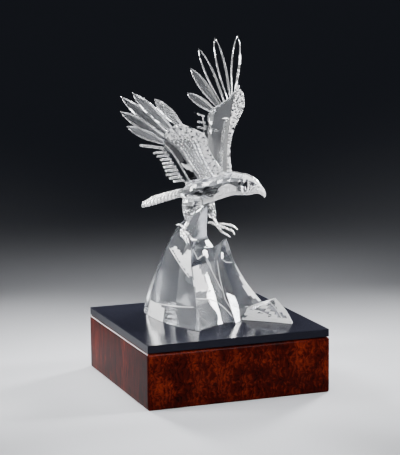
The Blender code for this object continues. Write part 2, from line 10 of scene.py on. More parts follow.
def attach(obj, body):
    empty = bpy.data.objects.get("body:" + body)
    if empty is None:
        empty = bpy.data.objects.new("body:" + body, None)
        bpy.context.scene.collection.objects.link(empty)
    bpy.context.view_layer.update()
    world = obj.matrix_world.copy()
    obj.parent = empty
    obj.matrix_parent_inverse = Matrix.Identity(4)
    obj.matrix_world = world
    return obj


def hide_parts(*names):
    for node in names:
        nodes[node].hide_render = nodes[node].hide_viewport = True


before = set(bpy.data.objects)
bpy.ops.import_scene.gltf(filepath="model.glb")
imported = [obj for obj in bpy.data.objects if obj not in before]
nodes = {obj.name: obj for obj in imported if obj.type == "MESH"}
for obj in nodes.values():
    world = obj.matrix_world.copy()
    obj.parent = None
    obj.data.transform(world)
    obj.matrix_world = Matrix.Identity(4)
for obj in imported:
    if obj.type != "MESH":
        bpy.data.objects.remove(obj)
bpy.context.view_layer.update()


def addObject(name, data):
    made = bpy.data.objects.new(name, data)
    bpy.context.scene.collection.objects.link(made)
    return made


# camera
cameraView = {
    "azimuth": -20.332,
    "elevation": 9.5289,
    "roll": -0.5114,
    "target": (-0.00464, 0.0, 0.13262),
    "distance": 1.43323,
    "lens": 133.38,
    "sensor": 36.0,
}


def placeCamera(view):
    azimuth, elevation = math.radians(view["azimuth"]), math.radians(view["elevation"])
    back = Vector((
        math.sin(azimuth) * math.cos(elevation),
        -math.cos(azimuth) * math.cos(elevation),
        math.sin(elevation),
    ))
    right = Vector((math.cos(azimuth), math.sin(azimuth), 0))
    up = back.cross(right)
    roll = math.radians(view["roll"])
    rolledRight = right * math.cos(roll) + up * math.sin(roll)
    rolledUp = up * math.cos(roll) - right * math.sin(roll)
    turn = Matrix((rolledRight, rolledUp, back)).transposed().to_4x4()
    data = bpy.data.cameras.new("photoCamera")
    data.sensor_fit = "VERTICAL"
    data.sensor_height = view["sensor"]
    data.lens = view["lens"]
    data.clip_start, data.clip_end = 0.05, 60
    camera = addObject("photoCamera", data)
    camera.matrix_world = Matrix.Translation(Vector(view["target"]) + back * view["distance"]) @ turn
    bpy.context.scene.camera = camera


placeCamera(cameraView)
print("camera placed")

# studio
studio = {
    "floorRadius": 16.0,
    "floorColor": (0.52, 0.53, 0.56),
    "overheadHeight": 0.86,
    "overheadSize": 0.44,
    "overheadPower": 1.5,
    "overheadSpread": 80,
    # compass angle, distance, height, width, height of the light, power; none stands straight
    # behind the object as the camera sees it
    "softBoxes": (
        (34, 0.66, 0.38, 0.16, 0.36, 1.6), (106, 0.66, 0.38, 0.16, 0.36, 1.6),
        (166, 0.62, 0.38, 0.18, 0.32, 1.0), (350, 0.62, 0.38, 0.18, 0.32, 1.2),
    ),
    "keys": ((218, 0.85, 0.30, 0.26, 0.26, 0.6), (286, 0.85, 0.30, 0.26, 0.26, 0.4)),
    "keySpread": 36,
    "softSpread": 44,
    "worldDark": (0.003, 0.0034, 0.0045),
    "worldLight": (0.020, 0.022, 0.028),
}


def startMaterial(name):
    material = bpy.data.materials.new(name)
    material.use_nodes = True
    tree = material.node_tree
    return material, tree, tree.nodes["Principled BSDF"]


def addNode(tree, kind, **settings):
    made = tree.nodes.new(kind)
    for key, value in settings.items():
        if key in made.inputs:
            made.inputs[key].default_value = value
        else:
            setattr(made, key, value)
    return made


def addTexture(tree, kind, vector, **settings):
    made = addNode(tree, kind, **settings)
    tree.links.new(vector, made.inputs["Vector"])
    return made


def roughen(tree, shader, value, reach):
    # the value, from 0 to 1, takes the roughness through its reach
    rough = addNode(tree, "ShaderNodeMapRange")
    rough.inputs["To Min"].default_value, rough.inputs["To Max"].default_value = reach
    tree.links.new(value, rough.inputs["Value"])
    tree.links.new(rough.outputs["Result"], shader.inputs["Roughness"])
    return rough


def setSockets(shader, values):
    for socket, value in values.items():
        shader.inputs[socket].default_value = value


def makeFloor(look):
    bpy.ops.mesh.primitive_circle_add(vertices=96, radius=look["floorRadius"], fill_type="NGON")
    floor = bpy.context.object
    floor.name = "studioFloor"
    material, _, shader = startMaterial("paleFloor")
    shader.inputs["Base Color"].default_value = (*look["floorColor"], 1)
    shader.inputs["Roughness"].default_value = 0.6
    floor.data.materials.append(material)


def addAreaLight(name, place, aim, size, power, spread):
    data = bpy.data.lights.new(name, "AREA")
    data.spread = math.radians(spread)
    data.shape = "RECTANGLE"
    data.size, data.size_y = size
    data.energy = power
    light = addObject(name, data)
    light.location = place
    light.rotation_euler = (Vector(aim) - Vector(place)).to_track_quat("-Z", "Y").to_euler()
    light.visible_camera = False


def lightStudio(look):
    addAreaLight("overhead", (0, 0, look["overheadHeight"]), (0, 0, 0),
                 (look["overheadSize"], look["overheadSize"]), look["overheadPower"],
                 look["overheadSpread"])
    for kind, spread, aim in (("softBoxes", "softSpread", 0.16), ("keys", "keySpread", 0.20)):
        for number, (degrees, out, height, wide, tall, power) in enumerate(look[kind]):
            angle = math.radians(degrees)
            place = (out * math.cos(angle), out * math.sin(angle), height)
            addAreaLight(f"{kind}{number}", place, (0, 0, aim), (wide, tall), power, look[spread])

    world = bpy.data.worlds.new("studioWorld")
    bpy.context.scene.world = world
    world.use_nodes = True
    tree = world.node_tree
    coordinates = addNode(tree, "ShaderNodeTexCoord")
    split = addNode(tree, "ShaderNodeSeparateXYZ")
    ramp = addNode(tree, "ShaderNodeValToRGB")
    ramp.color_ramp.elements[0].position = 0.05
    ramp.color_ramp.elements[0].color = (*look["worldDark"], 1)
    ramp.color_ramp.elements[1].position = 0.75
    ramp.color_ramp.elements[1].color = (*look["worldLight"], 1)
    tree.links.new(coordinates.outputs["Generated"], split.inputs[0])
    tree.links.new(split.outputs["Z"], ramp.inputs["Fac"])
    tree.links.new(ramp.outputs["Color"], tree.nodes["Background"].inputs["Color"])


makeFloor(studio)
lightStudio(studio)
print("studio lit")

# materials
burlLook = {
    "dark": (0.0050, 0.0005, 0.0004),
    "middle": (0.0300, 0.0022, 0.0010),
    "light": (0.1200, 0.0120, 0.0040),
    "cloudScale": 290.0,
    "curlScale": 90.0,
    "patchScale": 55.0,
    "eyeScale": 300.0,
    "swirlScale": 110.0,
    "swirl": 0.012,
    "sideStretch": (1.0, 1.0, 0.2),
    # painted shade: how much darker the side faces are made
    "paintedSideShade": 0.07,
    "curlShare": 0.14,
    "eyeShare": 0.12,
    "patchShare": 0.42,
    "stops": (0.38, 0.53, 0.68),
    "roughness": (0.35, 0.55),
    "lacquer": {"Specular IOR Level": 0.01, "Coat Weight": 0.1, "Coat Roughness": 0.08,
                "Coat IOR": 1.2},
}


def makeBurl(look):
    material, tree, shader = startMaterial("burlVeneer")
    link = tree.links.new
    place = addNode(tree, "ShaderNodeTexCoord")
    # the side faces show the figure drawn out upright
    upright = addNode(tree, "ShaderNodeMapping")
    upright.inputs["Scale"].default_value = look["sideStretch"]
    facing = addNode(tree, "ShaderNodeNewGeometry")
    facingParts = addNode(tree, "ShaderNodeSeparateXYZ")
    sideways = addNode(tree, "ShaderNodeMath", operation="ABSOLUTE")
    chosen = addNode(tree, "ShaderNodeMix", data_type="VECTOR")
    swirl = addNode(tree, "ShaderNodeTexNoise", Scale=look["swirlScale"], Detail=3.0, Roughness=0.5)
    centred = addNode(tree, "ShaderNodeVectorMath", operation="SUBTRACT")
    centred.inputs[1].default_value = (0.5, 0.5, 0.5)
    pushed = addNode(tree, "ShaderNodeVectorMath", operation="SCALE", Scale=look["swirl"])
    bent = addNode(tree, "ShaderNodeVectorMath", operation="ADD")
    cloud = addNode(tree, "ShaderNodeTexNoise", Scale=look["cloudScale"], Detail=9.0, Roughness=0.66)
    curl = addNode(tree, "ShaderNodeTexWave", Scale=look["curlScale"], Distortion=9.0, Detail=3.0)
    curl.inputs["Detail Scale"].default_value = 1.6
    patch = addNode(tree, "ShaderNodeTexNoise", Scale=look["patchScale"], Detail=2.0)
    eyes = addNode(tree, "ShaderNodeTexVoronoi", Scale=look["eyeScale"], Randomness=1.0)
    eyeDots = addNode(tree, "ShaderNodeMapRange")
    eyeDots.inputs["From Min"].default_value, eyeDots.inputs["From Max"].default_value = 0.08, 0.34
    link(place.outputs["Object"], upright.inputs["Vector"])
    link(facing.outputs["Normal"], facingParts.inputs[0])
    link(facingParts.outputs["X"], sideways.inputs[0])
    pick = {socket.identifier: socket for socket in chosen.inputs}
    figured = next(socket for socket in chosen.outputs if socket.identifier == "Result_Vector")
    link(sideways.outputs[0], pick["Factor_Float"])
    link(place.outputs["Object"], pick["A_Vector"])
    link(upright.outputs["Vector"], pick["B_Vector"])
    link(figured, swirl.inputs["Vector"])
    link(swirl.outputs["Color"], centred.inputs[0])
    link(centred.outputs[0], pushed.inputs[0])
    link(figured, bent.inputs[0])
    link(pushed.outputs[0], bent.inputs[1])
    for texture in (cloud, curl, eyes):
        link(bent.outputs[0], texture.inputs["Vector"])
    link(figured, patch.inputs["Vector"])
    link(eyes.outputs["Distance"], eyeDots.inputs["Value"])

    def blend(first, second, share):
        made = addNode(tree, "ShaderNodeMix", Factor=share)
        link(first, made.inputs["A"])
        link(second, made.inputs["B"])
        return made.outputs["Result"]

    grain = blend(cloud.outputs["Fac"], curl.outputs["Fac"], look["curlShare"])
    grain = blend(grain, eyeDots.outputs["Result"], look["eyeShare"])
    grain = blend(grain, patch.outputs["Fac"], look["patchShare"])
    # painted shade: the veneer on the side faces is made darker, as shade falling on them
    sideShade = addNode(tree, "ShaderNodeMath", operation="MULTIPLY_ADD")
    sideShade.inputs[1].default_value = -look["paintedSideShade"]
    link(sideways.outputs[0], sideShade.inputs[0])
    link(grain, sideShade.inputs[2])
    grain = sideShade.outputs[0]
    ramp = addNode(tree, "ShaderNodeValToRGB")
    stops = ramp.color_ramp.elements
    stops[0].position, stops[0].color = look["stops"][0], (*look["dark"], 1)
    stops[1].position, stops[1].color = look["stops"][2], (*look["light"], 1)
    middle = stops.new(look["stops"][1])
    middle.color = (*look["middle"], 1)
    link(grain, ramp.inputs["Fac"])
    link(ramp.outputs["Color"], shader.inputs["Base Color"])
    roughen(tree, shader, grain, look["roughness"])
    setSockets(shader, look["lacquer"])
    return material


plateLook = {
    "dark": (0.0050, 0.0053, 0.0085),
    "light": (0.0110, 0.0115, 0.0170),
    "dustScale": 900.0,
    "wipeScale": 24.0,
    "roughness": (0.12, 0.22),
    "gloss": {"IOR": 1.1, "Coat Weight": 0.02, "Coat Roughness": 0.03},
}


def makeBlackGloss(look):
    material, tree, shader = startMaterial("blackGloss")
    place = addNode(tree, "ShaderNodeTexCoord").outputs["Object"]
    dust = addTexture(tree, "ShaderNodeTexNoise", place, Scale=look["dustScale"], Detail=2.0)
    wiped = addTexture(tree, "ShaderNodeTexNoise", place, Scale=look["wipeScale"], Detail=4.0)
    tone = addNode(tree, "ShaderNodeValToRGB")
    tone.color_ramp.elements[0].color = (*look["dark"], 1)
    tone.color_ramp.elements[1].color = (*look["light"], 1)
    tree.links.new(dust.outputs["Fac"], tone.inputs["Fac"])
    tree.links.new(tone.outputs["Color"], shader.inputs["Base Color"])
    roughen(tree, shader, wiped.outputs["Fac"], look["roughness"])
    setSockets(shader, look["gloss"])
    return material


crystalLook = {
    "polishScale": 120.0,
    "polishRange": (0.35, 0.75),
    "ior": 1.545,
    "tint": (0.97, 0.98, 1.0),
}


def makeCrystal(name, clear, roughness, wave, waveScale, pits=0.0, pitScale=700.0,
                tint=crystalLook["tint"]):
    material, tree, shader = startMaterial(name)
    link = tree.links.new
    place = addNode(tree, "ShaderNodeTexCoord").outputs["Object"]
    polish = addTexture(tree, "ShaderNodeTexNoise", place, Scale=crystalLook["polishScale"],
                        Detail=5.0, Roughness=0.6)
    rough = roughen(tree, shader, polish.outputs["Fac"], roughness)
    start, end = crystalLook["polishRange"]
    rough.inputs["From Min"].default_value, rough.inputs["From Max"].default_value = start, end
    waves = addTexture(tree, "ShaderNodeTexNoise", place, Scale=waveScale, Detail=1.5, Roughness=0.4)
    last = addNode(tree, "ShaderNodeBump", Strength=1.0, Distance=wave)
    link(waves.outputs["Fac"], last.inputs["Height"])
    if pits:
        cells = addTexture(tree, "ShaderNodeTexVoronoi", place, Scale=pitScale, Randomness=1.0)
        stipple = addNode(tree, "ShaderNodeBump", Strength=1.0, Distance=pits)
        link(cells.outputs["Distance"], stipple.inputs["Height"])
        link(last.outputs["Normal"], stipple.inputs["Normal"])
        last = stipple
    link(last.outputs["Normal"], shader.inputs["Normal"])
    setSockets(shader, {"Base Color": (*tint, 1), "Transmission Weight": clear,
                        "IOR": crystalLook["ior"]})
    return material


silverLook = {
    "tarnishScale": 420.0,
    "dark": (0.36, (0.42, 0.41, 0.40)),
    "light": (0.58, (0.86, 0.86, 0.87)),
    "roughness": (0.16, 0.40),
    "bumpDepth": 0.0002,
}


def makeSilver(look):
    material, tree, shader = startMaterial("castSilver")
    link = tree.links.new
    place = addNode(tree, "ShaderNodeTexCoord").outputs["Object"]
    tarnish = addTexture(tree, "ShaderNodeTexNoise", place, Scale=look["tarnishScale"],
                         Detail=5.0, Roughness=0.6).outputs["Fac"]
    tone = addNode(tree, "ShaderNodeValToRGB")
    for stop, (share, shade) in zip(tone.color_ramp.elements, (look["dark"], look["light"])):
        stop.position, stop.color = share, (*shade, 1)
    skin = addNode(tree, "ShaderNodeBump", Strength=0.5, Distance=look["bumpDepth"])
    link(tarnish, tone.inputs["Fac"])
    link(tone.outputs["Color"], shader.inputs["Base Color"])
    roughen(tree, shader, tarnish, look["roughness"])
    link(tarnish, skin.inputs["Height"])
    link(skin.outputs["Normal"], shader.inputs["Normal"])
    shader.inputs["Metallic"].default_value = 1.0
    return material


burlVeneer = makeBurl(burlLook)
blackGloss = makeBlackGloss(plateLook)
clearCrystal = makeCrystal("clearCrystal", 1.0, (0.0, 0.03), 0.00012, 90.0)
rockCrystal = makeCrystal("rockCrystal", 1.0, (0.0, 0.02), 0.0006, 32.0, tint=(0.80, 0.83, 0.88))
# painted light and shade: a paler and a darker copy of the rock crystal, put on facets in place of light
# and dark refracted in them
rockPaintedLight = makeCrystal("rockPaintedLight", 0.88, (0.02, 0.12), 0.0004, 60.0, tint=(0.96, 0.98, 1.0))
rockPaintedShade = makeCrystal("rockPaintedShade", 1.0, (0.0, 0.02), 0.0004, 60.0, tint=(0.42, 0.43, 0.46))
rockBack = makeCrystal("rockBack", 0.94, (0.08, 0.20), 0.0004, 60.0, tint=(0.86, 0.88, 0.92))
frostCrystal = makeCrystal("frostCrystal", 0.93, (0.0, 0.06), 0.0003, 140.0, 0.0008, 560.0)
groundCrystal = makeCrystal("groundCrystal", 0.92, (0.0, 0.08), 0.0003, 240.0,
                            tint=(0.98, 0.99, 1.0))
mistCrystal = makeCrystal("mistCrystal", 0.965, (0.0, 0.04), 0.00012, 110.0,
                          tint=(0.92, 0.94, 0.98))
# painted light: a half-frosted crystal; its frost is a finish, its white stands in for highlights and
# light refracted where it is put
paintedLightCrystal = makeCrystal("paintedLightCrystal", 0.62, (0.08, 0.20), 0.0002, 160.0, 0.0004, 700.0,
                           tint=(1.0, 1.0, 1.0))
# painted shade: a nearly black tinted crystal, put where polished glass would show the dark beyond
paintedShadeCrystal = makeCrystal("paintedShadeCrystal", 1.0, (0.0, 0.02), 0.0001, 90.0, tint=(0.12, 0.12, 0.14))
castSilver = makeSilver(silverLook)
print("materials made")

# figure frame: its points are in thousandths of a metre, as on the CAD figure
figure = {
    "scale": 0.001,
    "turn": -20.3,
    "base": 0.0538,
    "bodyTurn": -15.0,
    "bodyStart": (-3.0, -1.0, 0.0),
}


def turned(degrees):
    angle = math.radians(degrees)
    return np.array(((math.cos(angle), -math.sin(angle), 0), (math.sin(angle), math.cos(angle), 0),
                     (0, 0, 1)))


ahead = turned(figure["bodyTurn"]) @ np.array((1.0, 0, 0))
across = turned(figure["bodyTurn"]) @ np.array((0, 1.0, 0))


def toWorld(points):
    return np.asarray(points, float) * figure["scale"] @ turned(figure["turn"]).T + np.array(
        (0, 0, figure["base"]))


def onBody(along, z, aside=0.0):
    return np.array(figure["bodyStart"]) + ahead * along + across * aside + np.array((0, 0, z))


def glide(keys, t):
    # smooth curve through keys of t and values
    steps = np.array([key[0] for key in keys], float)
    values = np.array([key[1:] for key in keys], float)
    slopes = np.gradient(values, steps, axis=0)
    t = min(max(t, steps[0]), steps[-1])
    i = int(min(max(np.searchsorted(steps, t) - 1, 0), len(steps) - 2))
    width = steps[i + 1] - steps[i]
    x = (t - steps[i]) / width
    return ((2 * x**3 - 3 * x**2 + 1) * values[i] + (x**3 - 2 * x**2 + x) * width * slopes[i]
            + (3 * x**2 - 2 * x**3) * values[i + 1] + (x**3 - x**2) * width * slopes[i + 1])


def straight(keys, t):
    return float(np.interp(t, [key[0] for key in keys], [key[1] for key in keys]))


def unit(vector):
    return vector / np.linalg.norm(vector)


def turnOutwards(mesh):
    shape = bmesh.new()
    shape.from_mesh(mesh)
    bmesh.ops.recalc_face_normals(shape, faces=shape.faces)
    shape.to_mesh(mesh)
    shape.free()


def meshObject(name, points, faces, zones, materials):
    mesh = bpy.data.meshes.new(name)
    mesh.from_pydata([tuple(point) for point in points], [], faces)
    for material in materials:
        mesh.materials.append(material)
    mesh.polygons.foreach_set("material_index", zones)
    turnOutwards(mesh)
    return addObject(name, mesh)


def loftObject(name, rings, zones, materials):
    # rings of points; zones give a material slot for each face of a ring, the caps take the first
    rows, count = len(rings), len(rings[0])
    points = toWorld(np.concatenate(rings))
    faces, slots = [], []
    for i in range(rows - 1):
        for j in range(count):
            k = (j + 1) % count
            faces.append((i * count + j, i * count + k, (i + 1) * count + k, (i + 1) * count + j))
            slots.append(zones(i, j) if callable(zones) else zones)
    for row, order in ((0, -1), (rows - 1, 1)):
        faces.append(tuple(range(row * count, (row + 1) * count))[::order])
        slots.append(slots[0])
    return meshObject(name, points, faces, slots, materials)


def slabObject(name, over, under, zone, materials):
    # closed plate between two grids; zone(i, j) gives the slot of both faces there
    rows, columns = len(over), len(over[0])
    size = rows * columns
    points = toWorld(np.concatenate((np.reshape(over, (-1, 3)), np.reshape(under, (-1, 3)))))
    faces, slots = [], []
    for i in range(rows - 1):
        for j in range(columns - 1):
            corners = (i * columns + j, i * columns + j + 1, (i + 1) * columns + j + 1,
                       (i + 1) * columns + j)
            faces += [corners, tuple(size + corner for corner in corners[::-1])]
            slots += [zone(i, j)] * 2
    for i in range(rows - 1):
        for j in (0, columns - 1):
            a, b = i * columns + j, (i + 1) * columns + j
            faces.append((a, b, size + b, size + a))
            slots.append(zone(i, min(j, columns - 2)))
    for j in range(columns - 1):
        for i in (0, rows - 1):
            a, b = i * columns + j, i * columns + j + 1
            faces.append((a, b, size + b, size + a))
            slots.append(zone(min(i, rows - 2), j))
    return meshObject(name, points, faces, slots, materials)


def settle(made):
    # live modifiers become a plain mesh
    view = bpy.context.evaluated_depsgraph_get()
    mesh = bpy.data.meshes.new_from_object(made.evaluated_get(view))
    made.modifiers.clear()
    made.data = mesh
    mesh.name = made.name
    return made


def finishPiece(made, slot, *replaced, smooth=None):
    if smooth is not None:
        made.data.shade_smooth()
        made.data.set_sharp_from_angle(angle=math.radians(smooth))
    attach(made, "root")
    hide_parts(*replaced)


def combine(target, operation, others):
    for other in others:
        modifier = target.modifiers.new(operation.lower(), "BOOLEAN")
        modifier.operation = operation
        modifier.solver = "EXACT"
        modifier.material_mode = "TRANSFER"
        modifier.object = other
    settle(target)
    for other in others:
        bpy.data.objects.remove(other, do_unlink=True)


# rock: three fluted horns, cut flat below
rock = {
    "arcSteps": 14,
    "rowSpacing": 1.6,
    "lift": 0.3,
    "mainSink": 3.0, "secondSink": 3.6, "thirdSink": 4.2,
    "mainRidges": (
        ((0, -5.5, -52), (28.5, -9, -41), (60, -12.2, -29), (74, -10, -22), (87, -6, -12),
         (97, 0, -5.5)),
        ((0, 21, -18), (20, 17, -11), (40, 11.5, -4), (60.9, 7.4, 1.5), (67, 3, 1.5), (75, 1.2, 0),
         (84, 1.7, -2), (97, 2.2, -3.5)),
        ((0, 4, 50), (30, 2, 36), (60, 1, 20), (80, 0, 9), (92, 0.5, 1.5), (97, 1, -1.5)),
        ((0, -54.4, 27), (15, -51, 25), (44, -40.4, 18), (70, -28.6, 8), (83.5, -19, 1.5),
         (91, -10, -1), (97, -1.2, -2.8)),
    ),
    "mainBulges": ((-0.05, -0.06), (0.04, 0.02), (0.07, 0.04), (0.086, 0.02)),
    "mainHeights": (0, 15, 30, 45, 60, 67, 75, 82, 88, 93, 97),
    "secondRidges": (
        ((0, 25.3, -24), (16.4, 20.2, -20), (31.8, 15.9, -15), (48.8, 14.3, -9), (64.1, 14.2, -3),
         (69.3, 17.0, -1.6)),
        ((0, 57, 20), (10.8, 48.2, 16), (28.4, 35.3, 10), (49, 24.4, 4), (64.4, 19.5, 0),
         (69.3, 17.9, -1.2)),
        ((0, 28, 44), (30, 20, 26), (55, 16, 8), (69.3, 17.3, -0.2)),
        ((0, -2, 0), (30, -1, 0), (50, 1, 0.5), (60.9, 6.5, 1), (64, 11, 0.5), (69.3, 16.7, -0.8)),
    ),
    "secondBulges": ((-0.06, -0.02), (0.05, 0.02), (0.04, 0.02), (-0.04, -0.02)),
    "secondHeights": (0, 11, 22, 33, 44, 54, 61, 66, 69.3),
    "thirdRidges": (
        ((0, 72.6, -29), (6.4, 69.9, -22), (12.9, 65, -14), (18.1, 59.3, -8.4)),
        ((0, 73, -14), (8, 68, -9), (15, 62, -7), (18.1, 59.5, -7.6)),
        ((0, 60, 22), (8, 56, 10), (15, 57, -2), (18.1, 58.7, -7)),
        ((0, 26, 8), (6, 33, 2), (12, 42, -3), (15.2, 49.7, -6), (18.1, 58.4, -7.6)),
        ((0, 28, -10.5), (6, 36, -9.5), (12, 46.5, -9), (18.1, 58.7, -8.3)),
    ),
    "thirdBulges": ((0.04, 0.02), (0.03, 0.0), (0.0, 0.0), (0.0, 0.0), (-0.03, 0.0)),
    "thirdHeights": (0, 4, 8, 12, 15.2, 18.1),
    # lines cut into the front, their grooves painted white as highlights: how far to the right and how
    # high their points lie
    "lines": (
        ((-49.7, 11.6), (-39.2, 13.9), (-25.2, 16.0), (-10.2, 18.5)),
        ((-8.2, 25.3), (-0.1, 22.6), (9.7, 17.8), (16.5, 11.3), (22.2, 5.4)),
        ((-30.5, 60.7), (-26.9, 56.7), (-20.1, 48.6), (-13.8, 41.7)),
        ((-17.6, 59.6), (-14.6, 64.0)),
        ((-10.5, 64.3), (-6.5, 54.8), (-1.1, 57.4), (4.2, 47.6), (5.6, 41.8)),
        ((0.3, 53.0), (9.9, 33.8), (13.7, 26.6)), ((14.2, 52.3), (17.9, 48.8), (23.0, 47.7)),
        ((9.9, 50.8), (12.2, 36.0), (16.5, 19.2), (22.2, 10.4)),
        ((33.4, 9.5), (45.9, 7.6), (56.3, 4.3)), ((54.8, 15.0), (61.0, 8.9), (64.4, 3.8)),
    ),
    "lineThickness": 1.0,
    # the painted light and shade of the facets stop this far back
    "paintedFacetReach": 16,
    # painted light: heights between which the front sides are paler
    "mainPaintedLight": (19, 50),
    "thirdPaintedLight": (-9, 30),
    "cutterSize": (0.4, 0.4, 0.02),
    "rayStart": -160.0,
    # facets painted lighter or darker, as painted light and shade: corners as for the lines, slot
    "paintedFacets": {
        "rockPiece": (
            (((-60, -5), (-38.2, -5), (-38.2, 12.4), (-60, 14.4)), 4),
            (((-30.5, 61.7), (-25.0, 61.8), (-20.0, 57.9), (-14.1, 63.7), (-12.8, 42.1),
              (-18.1, 45.5), (-23.0, 51.6)), 4),
            (((-10.9, 48.4), (-6.6, 49.6), (-1.8, 37.5), (3.9, 25.6), (-8.7, 29.5),
              (-10.5, 36.9)), 4),
            (((-37.8, 1.4), (-13.4, 2.1), (-8.4, 8.6), (-8.8, 16.6), (-37.8, 11.4)), 3),
        ),
        "secondHorn": (
            (((29.2, 12.9), (34.5, 17.9), (40.4, 11.3), (32.1, 10.7)), 3),
            (((9.6, 53.9), (13.9, 54.3), (16.6, 26.4), (21.3, 15), (18.4, 11.8), (11.8, 27.4)), 3),
            (((24.4, 47.3), (26.5, 48), (36.5, 29.4), (49.4, 12), (58, 2), (43.8, 12.1),
              (34.7, 18.8), (31.2, 27.8)), 4),
        ),
        "thirdHorn": (
            (((34.3, 9.4), (42.6, 10.3), (55.0, 4.9), (53.6, 3.5), (42.5, 6.0)), 3),
            (((26.0, 2.9), (27.6, 4.6), (32.0, 4.0), (34.0, 1.4), (28, 0.6)), 3),
            (((49.7, 13.9), (57.5, 16.8), (59.9, 8.3), (67.3, 4.0), (60.4, 4.0), (50.9, 9.0)), 0),
        ),
    },
}


def within(corners, along, z):
    inside = False
    for (a, b), (c, d) in zip(corners, corners[1:] + corners[:1]):
        if (b > z) != (d > z) and along < a + (z - b) / (d - b) * (c - a):
            inside = not inside
    return inside


def makeHorn(name, ridges, bulges, heights, sink, backs, paintedLightSides, paintedLightHeights,
             pale=rockPaintedLight):
    # rows lie between the CAD's own levels, so that the skin follows its straight rows
    levels = [-sink]
    for low, high in zip(heights, heights[1:]):
        count = max(1, round((high - low) / rock["rowSpacing"]))
        levels += list(np.linspace(low, high, count, endpoint=False))
    levels.append(heights[-1])
    rings = []
    for z in levels:
        rise = max(z, 0) / heights[-1]
        corners = [glide(ridge, z) for ridge in ridges]
        ring = []
        for i, corner in enumerate(corners):
            side = corners[(i + 1) % len(corners)] - corner
            swell = bulges[i][0] + (bulges[i][1] - bulges[i][0]) * rise
            for step in range(rock["arcSteps"]):
                x = step / rock["arcSteps"]
                outwards = np.array((side[1], -side[0]))
                u, v = corner + side * x + outwards * 4 * x * (1 - x) * swell
                ring.append((u, v, z))
        rings.append(np.array(ring))

    def zone(i, j):
        side = j // rock["arcSteps"]
        if side in backs:
            return 1
        u, v, z = rings[i][j]
        for corners, slot in rock["paintedFacets"].get(name, ()):
            if v < rock["paintedFacetReach"] and within(corners, u, z):
                return slot
        # painted light: the front sides take a paler crystal within a band of heights
        return 2 if side in paintedLightSides and paintedLightHeights[0] < z < paintedLightHeights[1] else 0

    return loftObject(name, rings, zone, [rockCrystal, rockBack, pale, rockPaintedShade, paintedLightCrystal])


def makeRock():
    made = makeHorn("rockPiece", rock["mainRidges"], rock["mainBulges"], rock["mainHeights"],
                    rock["mainSink"], (1, 2), (0,), rock["mainPaintedLight"])
    second = makeHorn("secondHorn", rock["secondRidges"], rock["secondBulges"],
                      rock["secondHeights"], rock["secondSink"], (1, 2), (), (0, 0))
    third = makeHorn("thirdHorn", rock["thirdRidges"], rock["thirdBulges"], rock["thirdHeights"],
                     rock["thirdSink"], (1, 2), (0, 3, 4), rock["thirdPaintedLight"], paintedLightCrystal)
    bpy.ops.mesh.primitive_cube_add(size=1)
    below = bpy.context.object
    below.scale = rock["cutterSize"]
    below.location.z = figure["base"] + rock["lift"] * figure["scale"] - rock["cutterSize"][2] / 2
    for material in (rockCrystal, rockBack):
        below.data.materials.append(material)
    for face in below.data.polygons:
        face.material_index = 1
    combine(made, "UNION", [second, third])
    combine(made, "DIFFERENCE", [below])
    hits = surfaceOf(made)
    width = rock["lineThickness"] * figure["scale"]
    cutters = []
    for line in rock["lines"]:
        path = []
        for (u, z), (nextU, nextZ) in zip(line, line[1:]):
            path += [onRock(hits, u + (nextU - u) * x, z + (nextZ - z) * x, 0)
                     for x in np.linspace(0, 1, 9)[:-1]]
        path.append(onRock(hits, *line[-1], 0))
        # painted highlight: the cut lines take the white crystal
        cutters.append(makeRibs("line", [path], ringTree, paintedLightCrystal, Width=width,
                                Thickness=width, Rows=40, Sides=8))
    combine(made, "DIFFERENCE", cutters)
    finishPiece(made, "rock_crystal", "rock", smooth=28)


# wings
rightWing = {
    "name": "right",
    "root": (-8, -1.5, 118.85),
    "span": (-63, -42, 77),
    "reach": (-11, 57.5),
    "rear": ((-12, 8), (-4, 1), (3, -3.2), (10, -2.4), (21, 0), (42, 3), (49, 3), (54, 7),
             (57.5, 14)),
    "front": ((-12, 27), (-6, 27), (5, 28.5), (17, 30), (26.5, 33), (36, 37.8), (45, 35.4),
              (52, 31), (57.5, 27.8)),
    "feathers": (
        ((26.3, 56.5), (24.8, 89.2)), ((17.0, 57.4), (12.6, 103.3)), ((10.6, 55.6), (1.7, 104.6)),
        ((5.6, 53.2), (-8.6, 92.4)), ((2.6, 48.4), (-13.8, 77.0)),
    ),
    "featherShare": 1.12,
    # lines along the blade: share of the way from rear to front, share of the thickness
    "panel": ((-11, 0.30), (6.6, 0.31), (24, 0.26), (41, 0.20), (49, 0.16), (57.5, 0.1)),
    "leafCuts": (((1.7, 22.6), (2.9, 13.4)), ((4.6, 19.4), (5.0, 10.6))),
    "strip": ((-11, 0.62), (1, 0.69), (16.6, 0.76), (25, 0.76), (37, 0.74), (57.5, 0.72)),
    "hand": ((0, 53.5), (0.2, 49.5), (0.75, 37.5), (1, 31)),
    "flutes": 6,
    "combStart": 2.0,
    "comb": ((2, -15.5), (6.2, -16.8), (17.2, -18), (22.5, -15.9), (31, -12.9), (42, -12.9),
             (50, -15), (56, -16.6)),
    "combStrip": 5.2,
    "combSlant": 21,
    "leadSlant": 39,
    "leadLength": 3.6,
    "leadWidth": 1.25,
}
